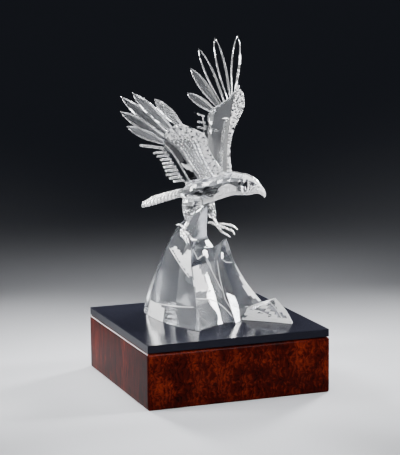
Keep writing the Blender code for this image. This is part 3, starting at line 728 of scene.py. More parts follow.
leftWing = {
    "name": "left",
    "root": (6, -2, 119.45),
    "span": (18, 25, 117),
    "reach": (-6, 84),
    "rear": ((-6, 0), (5, -3), (15, -5.5), (26, -6.8), (43, -7.8), (61, -7.6), (65.5, -1.4),
             (70.6, 4.3), (76.4, 8.3), (84, 10)),
    "front": ((-6, 18), (5, 17), (11, 15.7), (21.6, 13), (31, 11.8), (38.5, 12.2), (48, 14),
              (57.4, 17.3), (64, 19.1), (70, 18.7), (77, 16), (84, 11)),
    "feathers": (
        ((8.2, 76.8), (4.8, 124.7)), ((4.6, 71.6), (-15.4, 121.2)), ((-0.2, 67.2), (-28.1, 110.3)),
        ((-3.8, 63.6), (-32.7, 92.8)), ((-7.0, 58.8), (-32.4, 71.4)),
    ),
    "featherShare": 1.0,
    # borders between the facets, and the lower border of the flat table above them
    "borders": (
        ((-6, 4.0), (5, 1.6), (23.5, -1.2), (36.9, -5.2), (41, -6.2), (60, -6.2), (65.5, -0.2),
         (70.6, 5.4), (76.4, 9.0), (84, 10.1)),
        ((-6, 7.0), (5, 5.8), (20.4, 4.0), (41.7, 2.6), (60, 1.6), (67, 3.4), (72, 6.8),
         (76.4, 9.1), (84, 10.15)),
        ((-6, 10.0), (5, 9.2), (20, 7.6), (45, 6.0), (52, 6.6), (60, 6.0), (68, 6.6), (73, 8.4),
         (76.4, 9.2), (84, 10.2)),
        ((-6, 13.6), (10, 12.4), (22.8, 10.9), (31, 9.9), (38.5, 9.5), (53, 8.8), (68.5, 9.3),
         (73.1, 10.2), (84, 10.3)),
    ),
    "borderHeights": (0.33, 0.50, 0.32, 0.46),
    "tableEnd": ((-7.4, 41.4), (-2.4, 40.4), (3.2, 44.8), (8.7, 56.1), (9.2, 90)),
    "combStart": 6.0,
    "comb": ((6, -12), (12, -14.5), (25, -17), (36, -18.6), (51, -20.5), (60, -21.4)),
    "combStrip": 4.6,
    "combSlant": 6,
    "leadSlant": 17,
    "leadLength": 0.4,
    "leadWidth": 1.6,
}
blade = {
    "thick": (5.0, 3.0),
    "section": ((0, 0.16), (0.2, 0.42), (0.5, 0.5), (0.76, 0.46), (1.0, 0.17)),
    "climb": 0.1,
    "rows": 130,
    "fluteDepth": 0.62,
    "tickDepth": 0.55,
    "tickSpacing": 3.6,
    "leafHalf": 1.4,
    "leafDepth": 0.55,
    "stippleDepth": 0.40,
    "stippleSpacing": 2.3,
    "frostPit": 0.25,
    "speckSpacing": 4.2,
    "speckSize": 1.05,
    "facetColumns": (1, 5, 4, 4, 13),
    "facetKinds": (3, 2, 1, 3),
    "pitSteepness": 1.5,
    "panelEdges": (0.10, 0.86),
    "panelInside": (0.09, 0.85),
    "tickStep": 0.37,
    "edgeHeights": (0.16, 0.17),
    "leastPanel": (0.15, 0.6),
    "tableFade": 1.5,
}


def wingAxes(wing):
    span = unit(np.array(wing["span"], float))
    level = unit(ahead + np.array((0, 0, blade["climb"])))
    chord = unit(level - span * level.dot(span))
    return np.array(wing["root"], float), span, chord, np.cross(span, chord)


def inWing(axes, c, s, off=0.0):
    root, span, chord, normal = axes
    return root + chord * c + span * s + normal * off


def scattered(wing, spacing, seed):
    # random points over the blade, no two closer than the spacing
    random = np.random.default_rng(seed)
    low, high = wing["reach"]
    kept = []
    for c, s in random.uniform((-10, low), (40, high), (3000, 2)):
        if all((c - a) ** 2 + (s - b) ** 2 > spacing ** 2 for a, b in kept):
            kept.append((c, s))
    return np.array(kept)


def stippled(c, s, pits, shadeSpecks):
    # how deep the ground surface is there, and its slot: frost in deep pits, painted white highlight in
    # shallow ones, painted shade in dark specks
    near = np.sqrt(((pits - (c, s)) ** 2).sum(axis=1)).min()
    shadeSpeck = np.sqrt(((shadeSpecks - (c, s)) ** 2).sum(axis=1)).min() < blade["speckSize"]
    pit = max(0.0, 1 - near / blade["stippleSpacing"] * blade["pitSteepness"])
    return blade["stippleDepth"] * pit, 5 if shadeSpeck else 1 if pit > blade["frostPit"] else 4


def flutedRow(wing, s, thick, pits, shadeSpecks):
    # places across the fluted blade: chord, half thickness, slot of the blade's finishes and of its
    # painted light and shade
    rear, front = float(glide(wing["rear"], s)[0]), float(glide(wing["front"], s)[0])
    panel, strip = straight(wing["panel"], s), straight(wing["strip"], s)
    first, last = (panel * edge for edge in blade["panelEdges"])
    shares = [0, first, *np.linspace(first, last, 9)[1:]]
    shares += list(np.linspace(panel, strip, wing["flutes"] * 6 + 1)[:-1])
    shares += list(np.linspace(strip, 1, 17))
    row = []
    for x in shares:
        c = rear + (front - rear) * x
        half = straight(blade["section"], x) * thick
        kind = 0
        if x > strip or s > straight(wing["hand"], x):
            pit, kind = stippled(c, s, pits, shadeSpecks)
            half -= pit
        elif x >= panel:
            way = (x - panel) / (strip - panel) * wing["flutes"]
            half -= blade["fluteDepth"] * (1 - abs(2 * (way % 1) - 1))
            # every flute is cut across, each out of step with the next
            cell = (s / blade["tickSpacing"] + blade["tickStep"] * int(way)) % 1
            half -= blade["tickDepth"] * (1 - abs(2 * cell - 1))
            kind = (0, 3, 0, 1, 0)[int(2 * way + 5 * cell) % 5]
        elif x < panel * blade["panelInside"][0] or x > panel * blade["panelInside"][1]:
            kind = 3
        else:
            # painted shade: the inside of the panel is dark-tinted crystal
            kind = 5
            for start, end in wing["leafCuts"]:
                start, end = np.array(start), np.array(end)
                way = end - start
                share = np.dot((c, s) - start, way) / way.dot(way)
                far = np.linalg.norm((c, s) - start - way * share)
                wide = blade["leafHalf"] * math.sqrt(max(0.0, 1 - (2 * share - 1) ** 2))
                if far < wide:
                    half -= blade["leafDepth"] * (1 - far / wide)
                    # painted highlight: the leaf cuts take the white crystal
                    kind = 4
        row.append((c, half, kind))
    return row


def facetedRow(wing, s, thick, pits, shadeSpecks):
    rear, front = float(glide(wing["rear"], s)[0]), float(glide(wing["front"], s)[0])
    chords, heights = [rear], [blade["edgeHeights"][0]]
    for border, height in zip(wing["borders"], wing["borderHeights"]):
        c = min(max(straight(border, s), chords[-1] + blade["leastPanel"][0]),
                front - blade["leastPanel"][1])
        onTable = min(max((s - straight(wing["tableEnd"], c)) / blade["tableFade"], 0), 1)
        chords.append(c)
        heights.append(height + (0.5 - height) * onTable)
    chords.append(front)
    heights.append(blade["edgeHeights"][1])
    row = []
    for panel, columns in enumerate(blade["facetColumns"]):
        last = panel == len(blade["facetColumns"]) - 1
        for step in range(columns + last):
            x = step / columns
            c = chords[panel] + (chords[panel + 1] - chords[panel]) * x
            half = (heights[panel] + (heights[panel + 1] - heights[panel]) * x) * thick
            if last:
                pit, kind = stippled(c, s, pits, shadeSpecks)
                half -= pit * min(1, 3 * x)
            elif panel and s > straight(wing["tableEnd"], c):
                kind = 2
            else:
                kind = blade["facetKinds"][panel]
            row.append((c, half, kind))
    return row


def makeBlade(wing, seed):
    axes = wingAxes(wing)
    pits = scattered(wing, blade["stippleSpacing"], seed)
    shadeSpecks = scattered(wing, blade["speckSpacing"], seed + 40)
    low, high = wing["reach"]
    over, under, kinds = [], [], []
    for s in np.linspace(low, high, blade["rows"]):
        thick = blade["thick"][0] + (blade["thick"][1] - blade["thick"][0]) * (s - low) / (high - low)
        row = (facetedRow if "borders" in wing else flutedRow)(wing, s, thick, pits, shadeSpecks)
        over.append([inWing(axes, c, s, half) for c, half, kind in row])
        under.append([inWing(axes, c, s, -half) for c, half, kind in row])
        kinds.append([kind for c, half, kind in row])
    made = slabObject(wing["name"] + "WingPiece", over, under, lambda i, j: kinds[i][j],
                      [clearCrystal, frostCrystal, mistCrystal, groundCrystal, paintedLightCrystal,
                       paintedShadeCrystal])
    cutBy(made, "body")
    finishPiece(made, "crystal", wing["name"] + "_wing", smooth=20)


leaf = {
    "width": 8.2,
    "thick": 2.2,
    "shape": ((0, 0.40, 1), (0.2, 0.70, 1), (0.46, 1.0, 1), (0.72, 0.87, 1), (0.89, 0.53, 0.95),
              (1, 0.06, 0.45)),
    "table": (0.62, 0.5),
    "misty": ("left4", "left5", "right2", "right5"),
    "stations": 30,
    "pitch": 14,
    "letIn": 2.4,
}


def makeLeaf(wing, number, base, tip):
    base, tip = np.array(base), np.array(tip)
    way = unit(tip - base)
    base = base - way * leaf["letIn"]
    length = np.linalg.norm(tip - base)
    axes = wingAxes(wing)
    span, chord, normal = axes[1:]
    along = chord * way[0] + span * way[1]
    aside = np.cross(normal, along)
    pitch = math.radians(leaf["pitch"])
    flat = aside * math.cos(pitch) + normal * math.sin(pitch)
    upright = np.cross(along, flat)
    rings = []
    for t in np.linspace(0, 1, leaf["stations"]):
        wide, thick = glide(leaf["shape"], t)
        # the table narrows towards the root, on the side of the leading edge
        low, high = -leaf["table"][0], leaf["table"][0] - leaf["table"][1] * (1 - t) ** 2
        section = ((-1, 0.10), (low, 0.5), (high, 0.5), (1, 0.10), (1, -0.10), (high, -0.5),
                   (low, -0.5), (-1, -0.10))
        middle = inWing(axes, *(base + way * length * t))
        half = flat * leaf["width"] / 2 * wide * wing["featherShare"]
        high = upright * leaf["thick"] * thick
        rings.append(np.array([middle + half * x + high * y for x, y in section]))
    frosted = wing["name"] == "right" and number == 1
    misty = f"{wing['name']}{number}" in leaf["misty"]
    skins = [frostCrystal if frosted else mistCrystal if misty else clearCrystal, groundCrystal]
    made = loftObject(f"{wing['name']}Feather{number}", rings, lambda i, j: int(j in (0, 2, 4, 6)),
                      skins)
    finishPiece(made, "crystal", f"{wing['name']}_primary_{number}")


# ribs that follow paths: comb teeth, toes, shanks, quills, the thigh's ring and the rock's lines
def makeRibTree(name, taper):
    tree = bpy.data.node_groups.new(name, "GeometryNodeTree")
    sides = {}
    for label, kind, start in (
        ("Paths", "NodeSocketGeometry", None), ("Width", "NodeSocketFloat", 0.003),
        ("Thickness", "NodeSocketFloat", 0.002), ("Ripple Depth", "NodeSocketFloat", 0.0),
        ("Ripple Spacing", "NodeSocketFloat", 0.002), ("Rows", "NodeSocketInt", 24),
        ("Sides", "NodeSocketInt", 10), ("Facing", "NodeSocketVector", (0.3, 1, 0.2)),
        ("Finish", "NodeSocketMaterial", None),
    ):
        socket = tree.interface.new_socket(label, in_out="INPUT", socket_type=kind)
        if start is not None:
            socket.default_value = start
        sides[label] = socket.identifier
    tree.interface.new_socket("Ribs", in_out="OUTPUT", socket_type="NodeSocketGeometry")
    link = tree.links.new
    given = addNode(tree, "NodeGroupInput").outputs
    resample = addNode(tree, "GeometryNodeResampleCurve")
    facing = addNode(tree, "GeometryNodeSetCurveNormal", mode="FREE")
    along = addNode(tree, "GeometryNodeSplineParameter")
    narrowing = addNode(tree, "ShaderNodeFloatCurve")
    curve = narrowing.mapping.curves[0]
    for index, (x, y) in enumerate(taper):
        if index < 2:
            curve.points[index].location = (x, y)
        else:
            curve.points.new(x, y)
    narrowing.mapping.update()
    turns = addNode(tree, "ShaderNodeMath", operation="DIVIDE")
    angle = addNode(tree, "ShaderNodeMath", operation="MULTIPLY")
    angle.inputs[1].default_value = 2 * math.pi
    wave = addNode(tree, "ShaderNodeMath", operation="COSINE")
    ripple = addNode(tree, "ShaderNodeMath", operation="MULTIPLY_ADD")
    ripple.inputs[2].default_value = 1.0
    size = addNode(tree, "ShaderNodeMath", operation="MULTIPLY")
    circle = addNode(tree, "GeometryNodeCurvePrimitiveCircle", Radius=0.5)
    across = addNode(tree, "ShaderNodeCombineXYZ", Z=1.0)
    oval = addNode(tree, "GeometryNodeTransform")
    skin = addNode(tree, "GeometryNodeCurveToMesh")
    skin.inputs["Fill Caps"].default_value = True
    real = addNode(tree, "GeometryNodeRealizeInstances")
    paint = addNode(tree, "GeometryNodeSetMaterial")
    result = addNode(tree, "NodeGroupOutput")
    link(given["Paths"], resample.inputs["Curve"])
    link(given["Rows"], resample.inputs["Count"])
    link(resample.outputs["Curve"], facing.inputs["Curve"])
    link(given["Facing"], facing.inputs["Normal"])
    link(along.outputs["Factor"], narrowing.inputs["Value"])
    link(along.outputs["Length"], turns.inputs[0])
    link(given["Ripple Spacing"], turns.inputs[1])
    link(turns.outputs[0], angle.inputs[0])
    link(angle.outputs[0], wave.inputs[0])
    link(wave.outputs[0], ripple.inputs[0])
    link(given["Ripple Depth"], ripple.inputs[1])
    link(narrowing.outputs["Value"], size.inputs[0])
    link(ripple.outputs[0], size.inputs[1])
    link(given["Sides"], circle.inputs["Resolution"])
    link(given["Width"], across.inputs["X"])
    link(given["Thickness"], across.inputs["Y"])
    link(circle.outputs["Curve"], oval.inputs["Geometry"])
    link(across.outputs[0], oval.inputs["Scale"])
    link(facing.outputs["Curve"], skin.inputs["Curve"])
    link(oval.outputs["Geometry"], skin.inputs["Profile Curve"])
    link(size.outputs[0], skin.inputs["Scale"])
    link(skin.outputs["Mesh"], real.inputs[0])
    link(real.outputs[0], paint.inputs["Geometry"])
    link(given["Finish"], paint.inputs["Material"])
    link(paint.outputs["Geometry"], result.inputs[0])
    return tree, sides


def makeRibs(name, paths, ribTree, finish, **sizes):
    # paths in the figure's own points, one spline each
    data = bpy.data.curves.new(name, "CURVE")
    data.dimensions = "3D"
    for path in paths:
        spline = data.splines.new("POLY")
        spline.points.add(len(path) - 1)
        for point, place in zip(spline.points, toWorld(path)):
            point.co = (*place, 1)
    ribs = addObject(name, data)
    tree, sides = ribTree
    modifier = ribs.modifiers.new("ribs", "NODES")
    modifier.node_group = tree
    for label, value in sizes.items():
        modifier[sides[label.replace("_", " ")]] = value
    modifier[sides["Finish"]] = finish
    view = bpy.context.evaluated_depsgraph_get()
    mesh = bpy.data.meshes.new_from_object(ribs.evaluated_get(view))
    bpy.data.objects.remove(ribs, do_unlink=True)
    turnOutwards(mesh)
    return addObject(name, mesh)


def joinPieces(target, *others):
    # the others' faces and finishes go into the target
    for other in others:
        slots = []
        for material in other.data.materials:
            if material.name not in target.data.materials:
                target.data.materials.append(material)
            slots.append(target.data.materials.find(material.name))
        for face in other.data.polygons:
            face.material_index = slots[face.material_index]
    shape = bmesh.new()
    for piece in (target, *others):
        shape.from_mesh(piece.data)
    shape.to_mesh(target.data)
    shape.free()
    for other in others:
        bpy.data.objects.remove(other, do_unlink=True)


def cutBy(made, nodeName, grow=0.0003):
    # a merged copy of the CAD node, a little larger, cuts the piece clear of it
    shape = bmesh.new()
    shape.from_mesh(nodes[nodeName].data)
    bmesh.ops.remove_doubles(shape, verts=shape.verts, dist=1e-6)
    bmesh.ops.recalc_face_normals(shape, faces=shape.faces)
    shape.normal_update()
    moves = [corner.normal * corner.calc_shell_factor() * grow for corner in shape.verts]
    for corner, move in zip(shape.verts, moves):
        corner.co += move
    mesh = bpy.data.meshes.new("cutter")
    shape.to_mesh(mesh)
    shape.free()
    mesh.materials.append(clearCrystal)
    combine(made, "DIFFERENCE", [addObject("cutter", mesh)])


toothTaper = ((0, 1.0), (0.86, 1.0), (0.93, 0.86), (0.97, 0.62), (1, 0.22))
toeTaper = ((0, 1.0), (0.74, 0.82), (0.80, 0.62), (1, 0.12))
shankTaper = ((0, 1.0), (0.35, 0.92), (0.72, 0.80), (1, 0.95))
ringTaper = ((0, 0.4), (0.15, 1.0), (0.85, 1.0), (1, 0.4))
toothTree = makeRibTree("combTeeth", toothTaper)
toeTree = makeRibTree("toes", toeTaper)
shankTree = makeRibTree("shanks", shankTaper)
ringTree = makeRibTree("evenRibs", ringTaper)

comb = {
    "rootOverlap": 0.6,
    "stripOverlap": 0.9,
    "teeth": 10,
    "toothShare": 0.54,
    "toothLength": 9.0,
    "clearance": 3.9,
    "gap": 0.35,
    "stripThickness": 1.3,
    "toothThickness": 1.9,
}


def makeComb(wing):
    axes = wingAxes(wing)
    low, high = wing["combStart"], wing["feathers"][-1][0][1] - comb["clearance"]
    slant = math.tan(math.radians(wing["combSlant"]))
    lead = (wing["leadWidth"] - 1) * comb["toothShare"]
    pitch = (high - low) / (comb["teeth"] + lead)
    half = comb["stripThickness"] / 2
    over, under = [], []
    for s in np.linspace(low, high, 30):
        rear = float(glide(wing["rear"], s)[0])
        cuts = np.linspace(rear - comb["gap"], rear - wing["combStrip"] - comb["stripOverlap"], 7)
        over.append([inWing(axes, c, s, half) for c in cuts])
        under.append([inWing(axes, c, s, -half) for c in cuts])
    strip = slabObject(wing["name"] + "CombPiece", over, under, lambda i, j: int(j in (0, 5)),
                       [clearCrystal, groundCrystal])
    start = high
    widths = {}
    for number in range(comb["teeth"]):
        leads = number == 0
        tooth = pitch * (comb["toothShare"] + (lead if leads else 0))
        middle = start - tooth / 2
        rootC = float(glide(wing["rear"], middle)[0]) - wing["combStrip"]
        tipC = float(glide(wing["comb"], middle + slant * comb["toothLength"])[0])
        tipC -= wing["leadLength"] if leads else 0
        rise = math.tan(math.radians(wing["leadSlant"])) if leads else slant
        end = middle + rise * (rootC - tipC)
        steps = np.linspace(0, 1, 6)
        inner = rootC + comb["rootOverlap"]
        path = [inWing(axes, inner + (tipC - inner) * x, middle + (end - middle) * x) for x in steps]
        widths.setdefault(round(tooth, 3), []).append(path)
        start -= tooth + pitch * (1 - comb["toothShare"])
    facing = tuple(turned(figure["turn"]) @ axes[3])
    teeth = [
        makeRibs(f"teeth{index}", paths, toothTree, frostCrystal, Width=width * figure["scale"],
                 Thickness=comb["toothThickness"] * figure["scale"], Rows=22, Sides=12,
                 Facing=facing)
        for index, (width, paths) in enumerate(widths.items())
    ]
    joinPieces(strip, *teeth)
    cutBy(strip, "body")
    finishPiece(strip, "crystal", wing["name"] + "_secondaries", smooth=35)


for seed, wing in enumerate((rightWing, leftWing), 1):
    makeBlade(wing, seed)
    for number, (base, tip) in enumerate(wing["feathers"], 1):
        makeLeaf(wing, number, base, tip)
    makeComb(wing)
print("wings made")

# tail
tail = {
    "feathers": 7,
    "rows": 74,
    "perFeather": 8,
    "length": 37.5,
    "drop": 16.8,
    "roll": 8,
    "start": (-15.9, 108.6),
    "thick": 4.6,
    "beadWidth": 2.2,
    "beadDepth": 0.42,
    "beadSpacing": 0.0033,
    "beadSink": 0.7,
    "outline": ((0, 4.4, 1.2), (0.3, 7.2, 1.05), (0.7, 11.2, 0.8), (1, 13.3, 0.55)),
    "corner": 0.10,
    "scallop": 0.06,
    "groove": 0.45,
    "crownPower": 0.7,
    "barbDepth": 0.62,
    "barbSpacing": 2.9,
    "barbSlant": 2.6,
    "edgeWave": 0.035,
    "groundFrom": 0.93,
    "quillRows": slice(8, -1, 3),
    "quillShares": (0.25, 0.75),
}


def makeTail():
    drop, roll = math.radians(tail["drop"]), math.radians(tail["roll"])
    columns = tail["feathers"] * tail["perFeather"] + 1
    over, under, kinds = [], [], []
    for row in range(tail["rows"]):
        out = row / (tail["rows"] - 1)
        half, thick = glide(tail["outline"], out)
        upper, lower, kind = [], [], []
        for column in range(columns):
            x = 2 * column / (columns - 1) - 1
            place = tail["feathers"] * (x + 1) / 2
            crown = abs(math.sin(math.pi * place)) ** tail["crownPower"]
            trim = tail["corner"] * x * x + tail["scallop"] * out * (1 - crown)
            reach = out * tail["length"] * (1 - trim)
            relief = 1 - (1 - crown) * tail["groove"] * min(1, out * 2)
            sweep = reach - tail["barbSlant"] * abs(2 * (place % 1) - 1)
            barb = tail["barbDepth"] * abs(2 * ((sweep / tail["barbSpacing"]) % 1) - 1) * min(1, out * 3)
            along = tail["start"][0] - reach * math.cos(drop)
            z = tail["start"][1] - reach * math.sin(drop) + x * half * math.sin(roll)
            lift = np.array((0, 0, tail["thick"] / 2 * thick * relief - barb))
            wave = tail["edgeWave"] * math.sin(2 * math.pi * reach / tail["barbSpacing"])
            middle = onBody(along, z, x * half * (1 + wave * min(1, out * 4) * x * x))
            upper.append(middle + lift)
            lower.append(middle - lift)
            kind.append(int(out > tail["groundFrom"]))
        over.append(upper)
        under.append(lower)
        kinds.append(kind)
    made = slabObject("tailPiece", over, under, lambda i, j: kinds[i][j],
                      [clearCrystal, groundCrystal])
    # beaded quills along the crown of each feather and down both side edges, painted white as highlights
    quills = []
    for feather in range(tail["feathers"]):
        column = round((feather + 0.5) * tail["perFeather"])
        quills.append([row[column] - (0, 0, tail["beadSink"]) for row in over[tail["quillRows"]]])
    for column in (0, -1):
        for share in tail["quillShares"]:
            quills.append([a[column] * share + b[column] * (1 - share)
                           for a, b in zip(over[tail["quillRows"]], under[tail["quillRows"]])])
    width = tail["beadWidth"] * figure["scale"]
    beads = makeRibs("quills", quills, ringTree, paintedLightCrystal, Width=width, Thickness=width,
                     Rows=76, Sides=8, Ripple_Depth=tail["beadDepth"],
                     Ripple_Spacing=tail["beadSpacing"])
    cutBy(made, "body")
    joinPieces(made, beads)
    finishPiece(made, "crystal", "tail")


makeTail()
print("tail made")

# feet, each one casting
feet = {
    "toeThickness": 2.3,
    "toeRest": 0.62,
    "gap": 0.3,
    "ripple": 0.13,
    "rippleSpacing": 0.0016,
    "heelRadius": 1.75,
    "rightShank": 3.4,
    "leftShank": 2.6,
    "rightShankPath": ((-13.8, -12.6, 89.0), (-14.4, -13.4, 85.5), (-17.2, -15.4, 80.5)),
    "leftShankPath": ((6.8, 6.0, 89.0), (7.6, 5.9, 85.0), (9.0, 5.5, 82.0)),
    # on the rock: how far to the right, height, lift; the first toe crosses the ridge at a height
    "rightHeel": (-17.4, 76.0, 1.5),
    "rightToes": (
        ((-14.8, 76.0, 1), (-12.2, 74.2, 1.1), 72.2, (-8.6, 70.4, 1.2), (-7.2, 68.2, 0.9)),
        ((-16.6, 74.9, 1), (-14.4, 72.6, 1), (-12.9, 70.6, 1.2), (-12.2, 68.4, 0.9)),
        ((-18.8, 75.4, 1), (-18.4, 73.2, 1), (-16.2, 71.2, 1), (-14.8, 69.4, 1), (-14.4, 67.6, 0.9)),
    ),
    "shankRipple": 0.06,
    "shankRippleSpacing": 0.0019,
    "ridgeLift": 1.4,
    "rightBackToe": ((-19.2, -13.6, 82.2), (-21.6, -12.4, 83.2), (-24.3, -11.8, 82.6)),
    "leftHeel": (9.9, 5.2, 80.0),
    "leftToes": (
        ((12.5, 6.4, 80.4), (17.8, 8.2, 79.6), (23, 9.2, 78.2), (28.2, 9.6, 74.8)),
        ((13, 4.6, 78.9), (19.0, 4.2, 76.4), (23.6, 3.6, 74.2), (25.5, 3.2, 70.8)),
        ((11.4, 3.6, 77.6), (14.0, 1.6, 74.6), (18.0, 0.4, 72.2), (21.6, -0.2, 69.6)),
        ((7.6, 5.4, 80.6), (5.0, 6.0, 81.6), (2.0, 6.6, 80.8)),
    ),
}


# how far a toe's middle lies from the rock
toeRest = feet["toeThickness"] * feet["toeRest"] + feet["gap"]


def surfaceOf(made):
    shape = bmesh.new()
    shape.from_mesh(made.data)
    hits = BVHTree.FromBMesh(shape)
    shape.free()
    return hits


def onRock(hits, u, z, lift=1.0):
    # point of the front of the rock at u and z, lifted clear of it
    start = Vector(toWorld((u, rock["rayStart"], z)))
    way = Vector(turned(figure["turn"]) @ np.array((0, 1.0, 0)))
    hit, normal, _, _ = hits.ray_cast(start, way)
    return fromWorld(hit + normal * toeRest * lift * figure["scale"])


def fromWorld(point):
    shifted = (np.array(point) - np.array((0, 0, figure["base"]))) / figure["scale"]
    return shifted @ turned(figure["turn"])


def makeFoot(name, shank, thickness, toes, node):
    girth = thickness * figure["scale"]
    limb = makeRibs(name, [shank], shankTree, castSilver, Width=girth, Thickness=girth, Rows=30,
                    Sides=12, Ripple_Depth=feet["shankRipple"],
                    Ripple_Spacing=feet["shankRippleSpacing"])
    width = feet["toeThickness"] * figure["scale"]
    parts = [
        makeRibs("toe", [toe], toeTree, castSilver, Width=width, Thickness=width, Rows=44, Sides=12,
                 Ripple_Depth=feet["ripple"], Ripple_Spacing=feet["rippleSpacing"])
        for toe in toes
    ]
    bpy.ops.mesh.primitive_uv_sphere_add(segments=16, ring_count=10, location=toWorld(toes[0][0]),
                                         radius=feet["heelRadius"] * figure["scale"])
    heel = bpy.context.object
    heel.data.materials.append(castSilver)
    combine(limb, "UNION", [heel, *parts])
    finishPiece(limb, "silver", node, smooth=50)


def smoothPath(points, count=14):
    keys = [(i / (len(points) - 1), *point) for i, point in enumerate(points)]
    return [glide(keys, t) for t in np.linspace(0, 1, count)]


def overRidge(z):
    ridge = glide(rock["mainRidges"][0], z)
    return np.array((ridge[0], ridge[1] - toeRest * feet["ridgeLift"], z))


def makeFeet():
    hits = surfaceOf(nodes["rock"])
    heel = onRock(hits, *feet["rightHeel"])
    shank = [*feet["rightShankPath"], heel]
    toes = [[heel, *(overRidge(spot) if isinstance(spot, float) else onRock(hits, *spot)
                     for spot in toe)] for toe in feet["rightToes"]]
    toes.append([shank[2], *feet["rightBackToe"]])
    makeFoot("rightFootPiece", smoothPath(shank), feet["rightShank"],
             [smoothPath(toe) for toe in toes], "right_foot")
    heel = feet["leftHeel"]
    makeFoot("leftFootPiece", smoothPath([*feet["leftShankPath"], heel]), feet["leftShank"],
             [smoothPath([heel, *toe]) for toe in feet["leftToes"]], "left_foot")


makeFeet()
print("feet made")
makeRock()
print("rock made")

# body, neck and head: cut facets, each ground a little hollow
bird = {
    "facets": ((0.32, 1.0), (0.84, 0.60), (1.0, 0.0), (0.78, -0.62), (0.30, -1.0)),
    "edgeSteps": 11,
    "rowSpacing": 0.42,
    "hollow": 0.34,
    # where a section lies along the top, its height there, along the bottom, its height, half width
    "body": (
        (-15.2, 112.2, -17.5, 104.4, 5.0), (-11.5, 117.0, -12.5, 101.4, 7.6),
        (-5.5, 121.0, -5.5, 99.6, 9.4), (3.3, 123.0, 3.3, 99.5, 10.3),
        (12.0, 125.0, 12.0, 102.2, 10.3), (20.7, 126.4, 20.7, 105.3, 9.7),
        (28.0, 127.2, 28.0, 107.8, 8.8), (36.4, 126.0, 36.4, 108.2, 8.0),
    ),
    "head": (
        (36.7, 126.0, 36.7, 108.2, 8.0), (40.0, 125.5, 40.0, 108.2, 7.9),
        (43.8, 123.7, 43.3, 108.4, 7.4), (47.8, 121.0, 46.4, 109.2, 6.2),
        (50.6, 118.0, 48.8, 109.5, 4.5), (51.7, 116.2, 50.2, 109.2, 3.1),
        (53.5, 114.3, 51.8, 108.6, 2.5), (55.2, 111.7, 53.2, 108.0, 1.9),
        (56.0, 109.0, 54.2, 107.2, 1.2), (55.5, 106.4, 54.8, 106.0, 0.4),
    ),
    # grooves on both cheeks: two ends, half width, depth
    "grooves": (
        ((42.6, 119.8), (43.0, 114.2), 0.55, 0.6),
        ((43.0, 114.2), (40.8, 111.2), 0.55, 0.6), ((48.6, 117.0), (43.6, 111.6), 0.5, 0.55),
        ((49.0, 116.1), (52.2, 115.3), 0.45, 0.5), ((42.9, 121.6), (49.2, 118.3), 0.6, 0.6),
        ((44.0, 118.4), (49.2, 118.3), 0.4, 0.5),
    ),
    # painted shade: dark-tinted facets on the near side of the head and of the body, where polished
    # facets would show the dark beyond
    "headShadeFacets": (
        ((40.6, 122.4), (37.4, 117.0), (38.0, 111.2), (40.6, 111.6), (41.9, 115.7), (41.8, 119.3),
         (42.0, 121.9)),
        ((42.7, 121.4), (46.0, 119.9), (49.4, 117.7), (46.2, 116.2), (44.4, 117.3), (43.5, 114.8),
         (43.1, 118.0)),
        ((43.6, 115.6), (44.9, 116.0), (43.9, 113.9), (41.9, 111.7), (41.3, 111.9), (43.3, 114.4)),
        ((47.0, 116.6), (48.3, 116.4), (45.6, 113.3), (44.2, 112.3), (43.6, 112.2), (45.6, 114.8)),
        ((49.2, 116.3), (51.9, 115.6), (51.2, 114.9), (49.4, 115.4)),
        ((33.4, 124.4), (37.8, 123.0), (37.6, 118.6), (34.0, 117.4)),
    ),
    "bodyShadeFacets": (
        ((-4.5, 109.2), (-1.1, 112.2), (1.9, 110.9), (5.4, 115.0), (7.8, 115.9), (12.3, 114.6),
         (15.8, 115.9), (16.2, 114.4), (12.4, 113.1), (8.2, 114.2), (6.4, 113.2), (3.0, 109.6),
         (2.4, 107.6), (0, 108.2)),
        ((2.9, 108.6), (7.3, 110.5), (13.8, 110.2), (16.8, 112.2), (17.3, 111.0), (13.8, 108.9),
         (7.3, 109.0), (3.0, 107.4)),
        ((33.4, 124.4), (37.8, 123.0), (37.6, 118.6), (34.0, 117.4)),
        ((4.4, 121.6), (8.0, 121.0), (5.6, 118.6), (1.6, 118.8)),
    ),
    "clearPatch": (5, 17, 109, 115),
    "nape": (38.5, 116),
    "beakStart": 50,
    "grooveReach": 0.33,
    "fullHollow": 9,
    "fullGroove": 5,
    # painted light: a white patch on the chest
    "chestHighlight": (
        (18.2, 115.1), (20.7, 116.9), (25.7, 118.2), (29.6, 117.4), (31.8, 115.6), (32.3, 113.0),
        (30.6, 110.9), (26.6, 108.9), (20.7, 107.8), (13.8, 106.8), (12.3, 108.1), (15.8, 109.9),
        (17.7, 111.5), (16.7, 113.5),
    ),
}


def grooveDepth(along, z):
    deepest = 0.0
    for start, end, half, depth in bird["grooves"]:
        start, end = np.array(start), np.array(end)
        way = end - start
        share = min(max(np.dot((along, z) - start, way) / way.dot(way), 0), 1)
        far = np.linalg.norm((along, z) - start - way * share)
        deepest = max(deepest, depth * (1 - far / half))
    return deepest


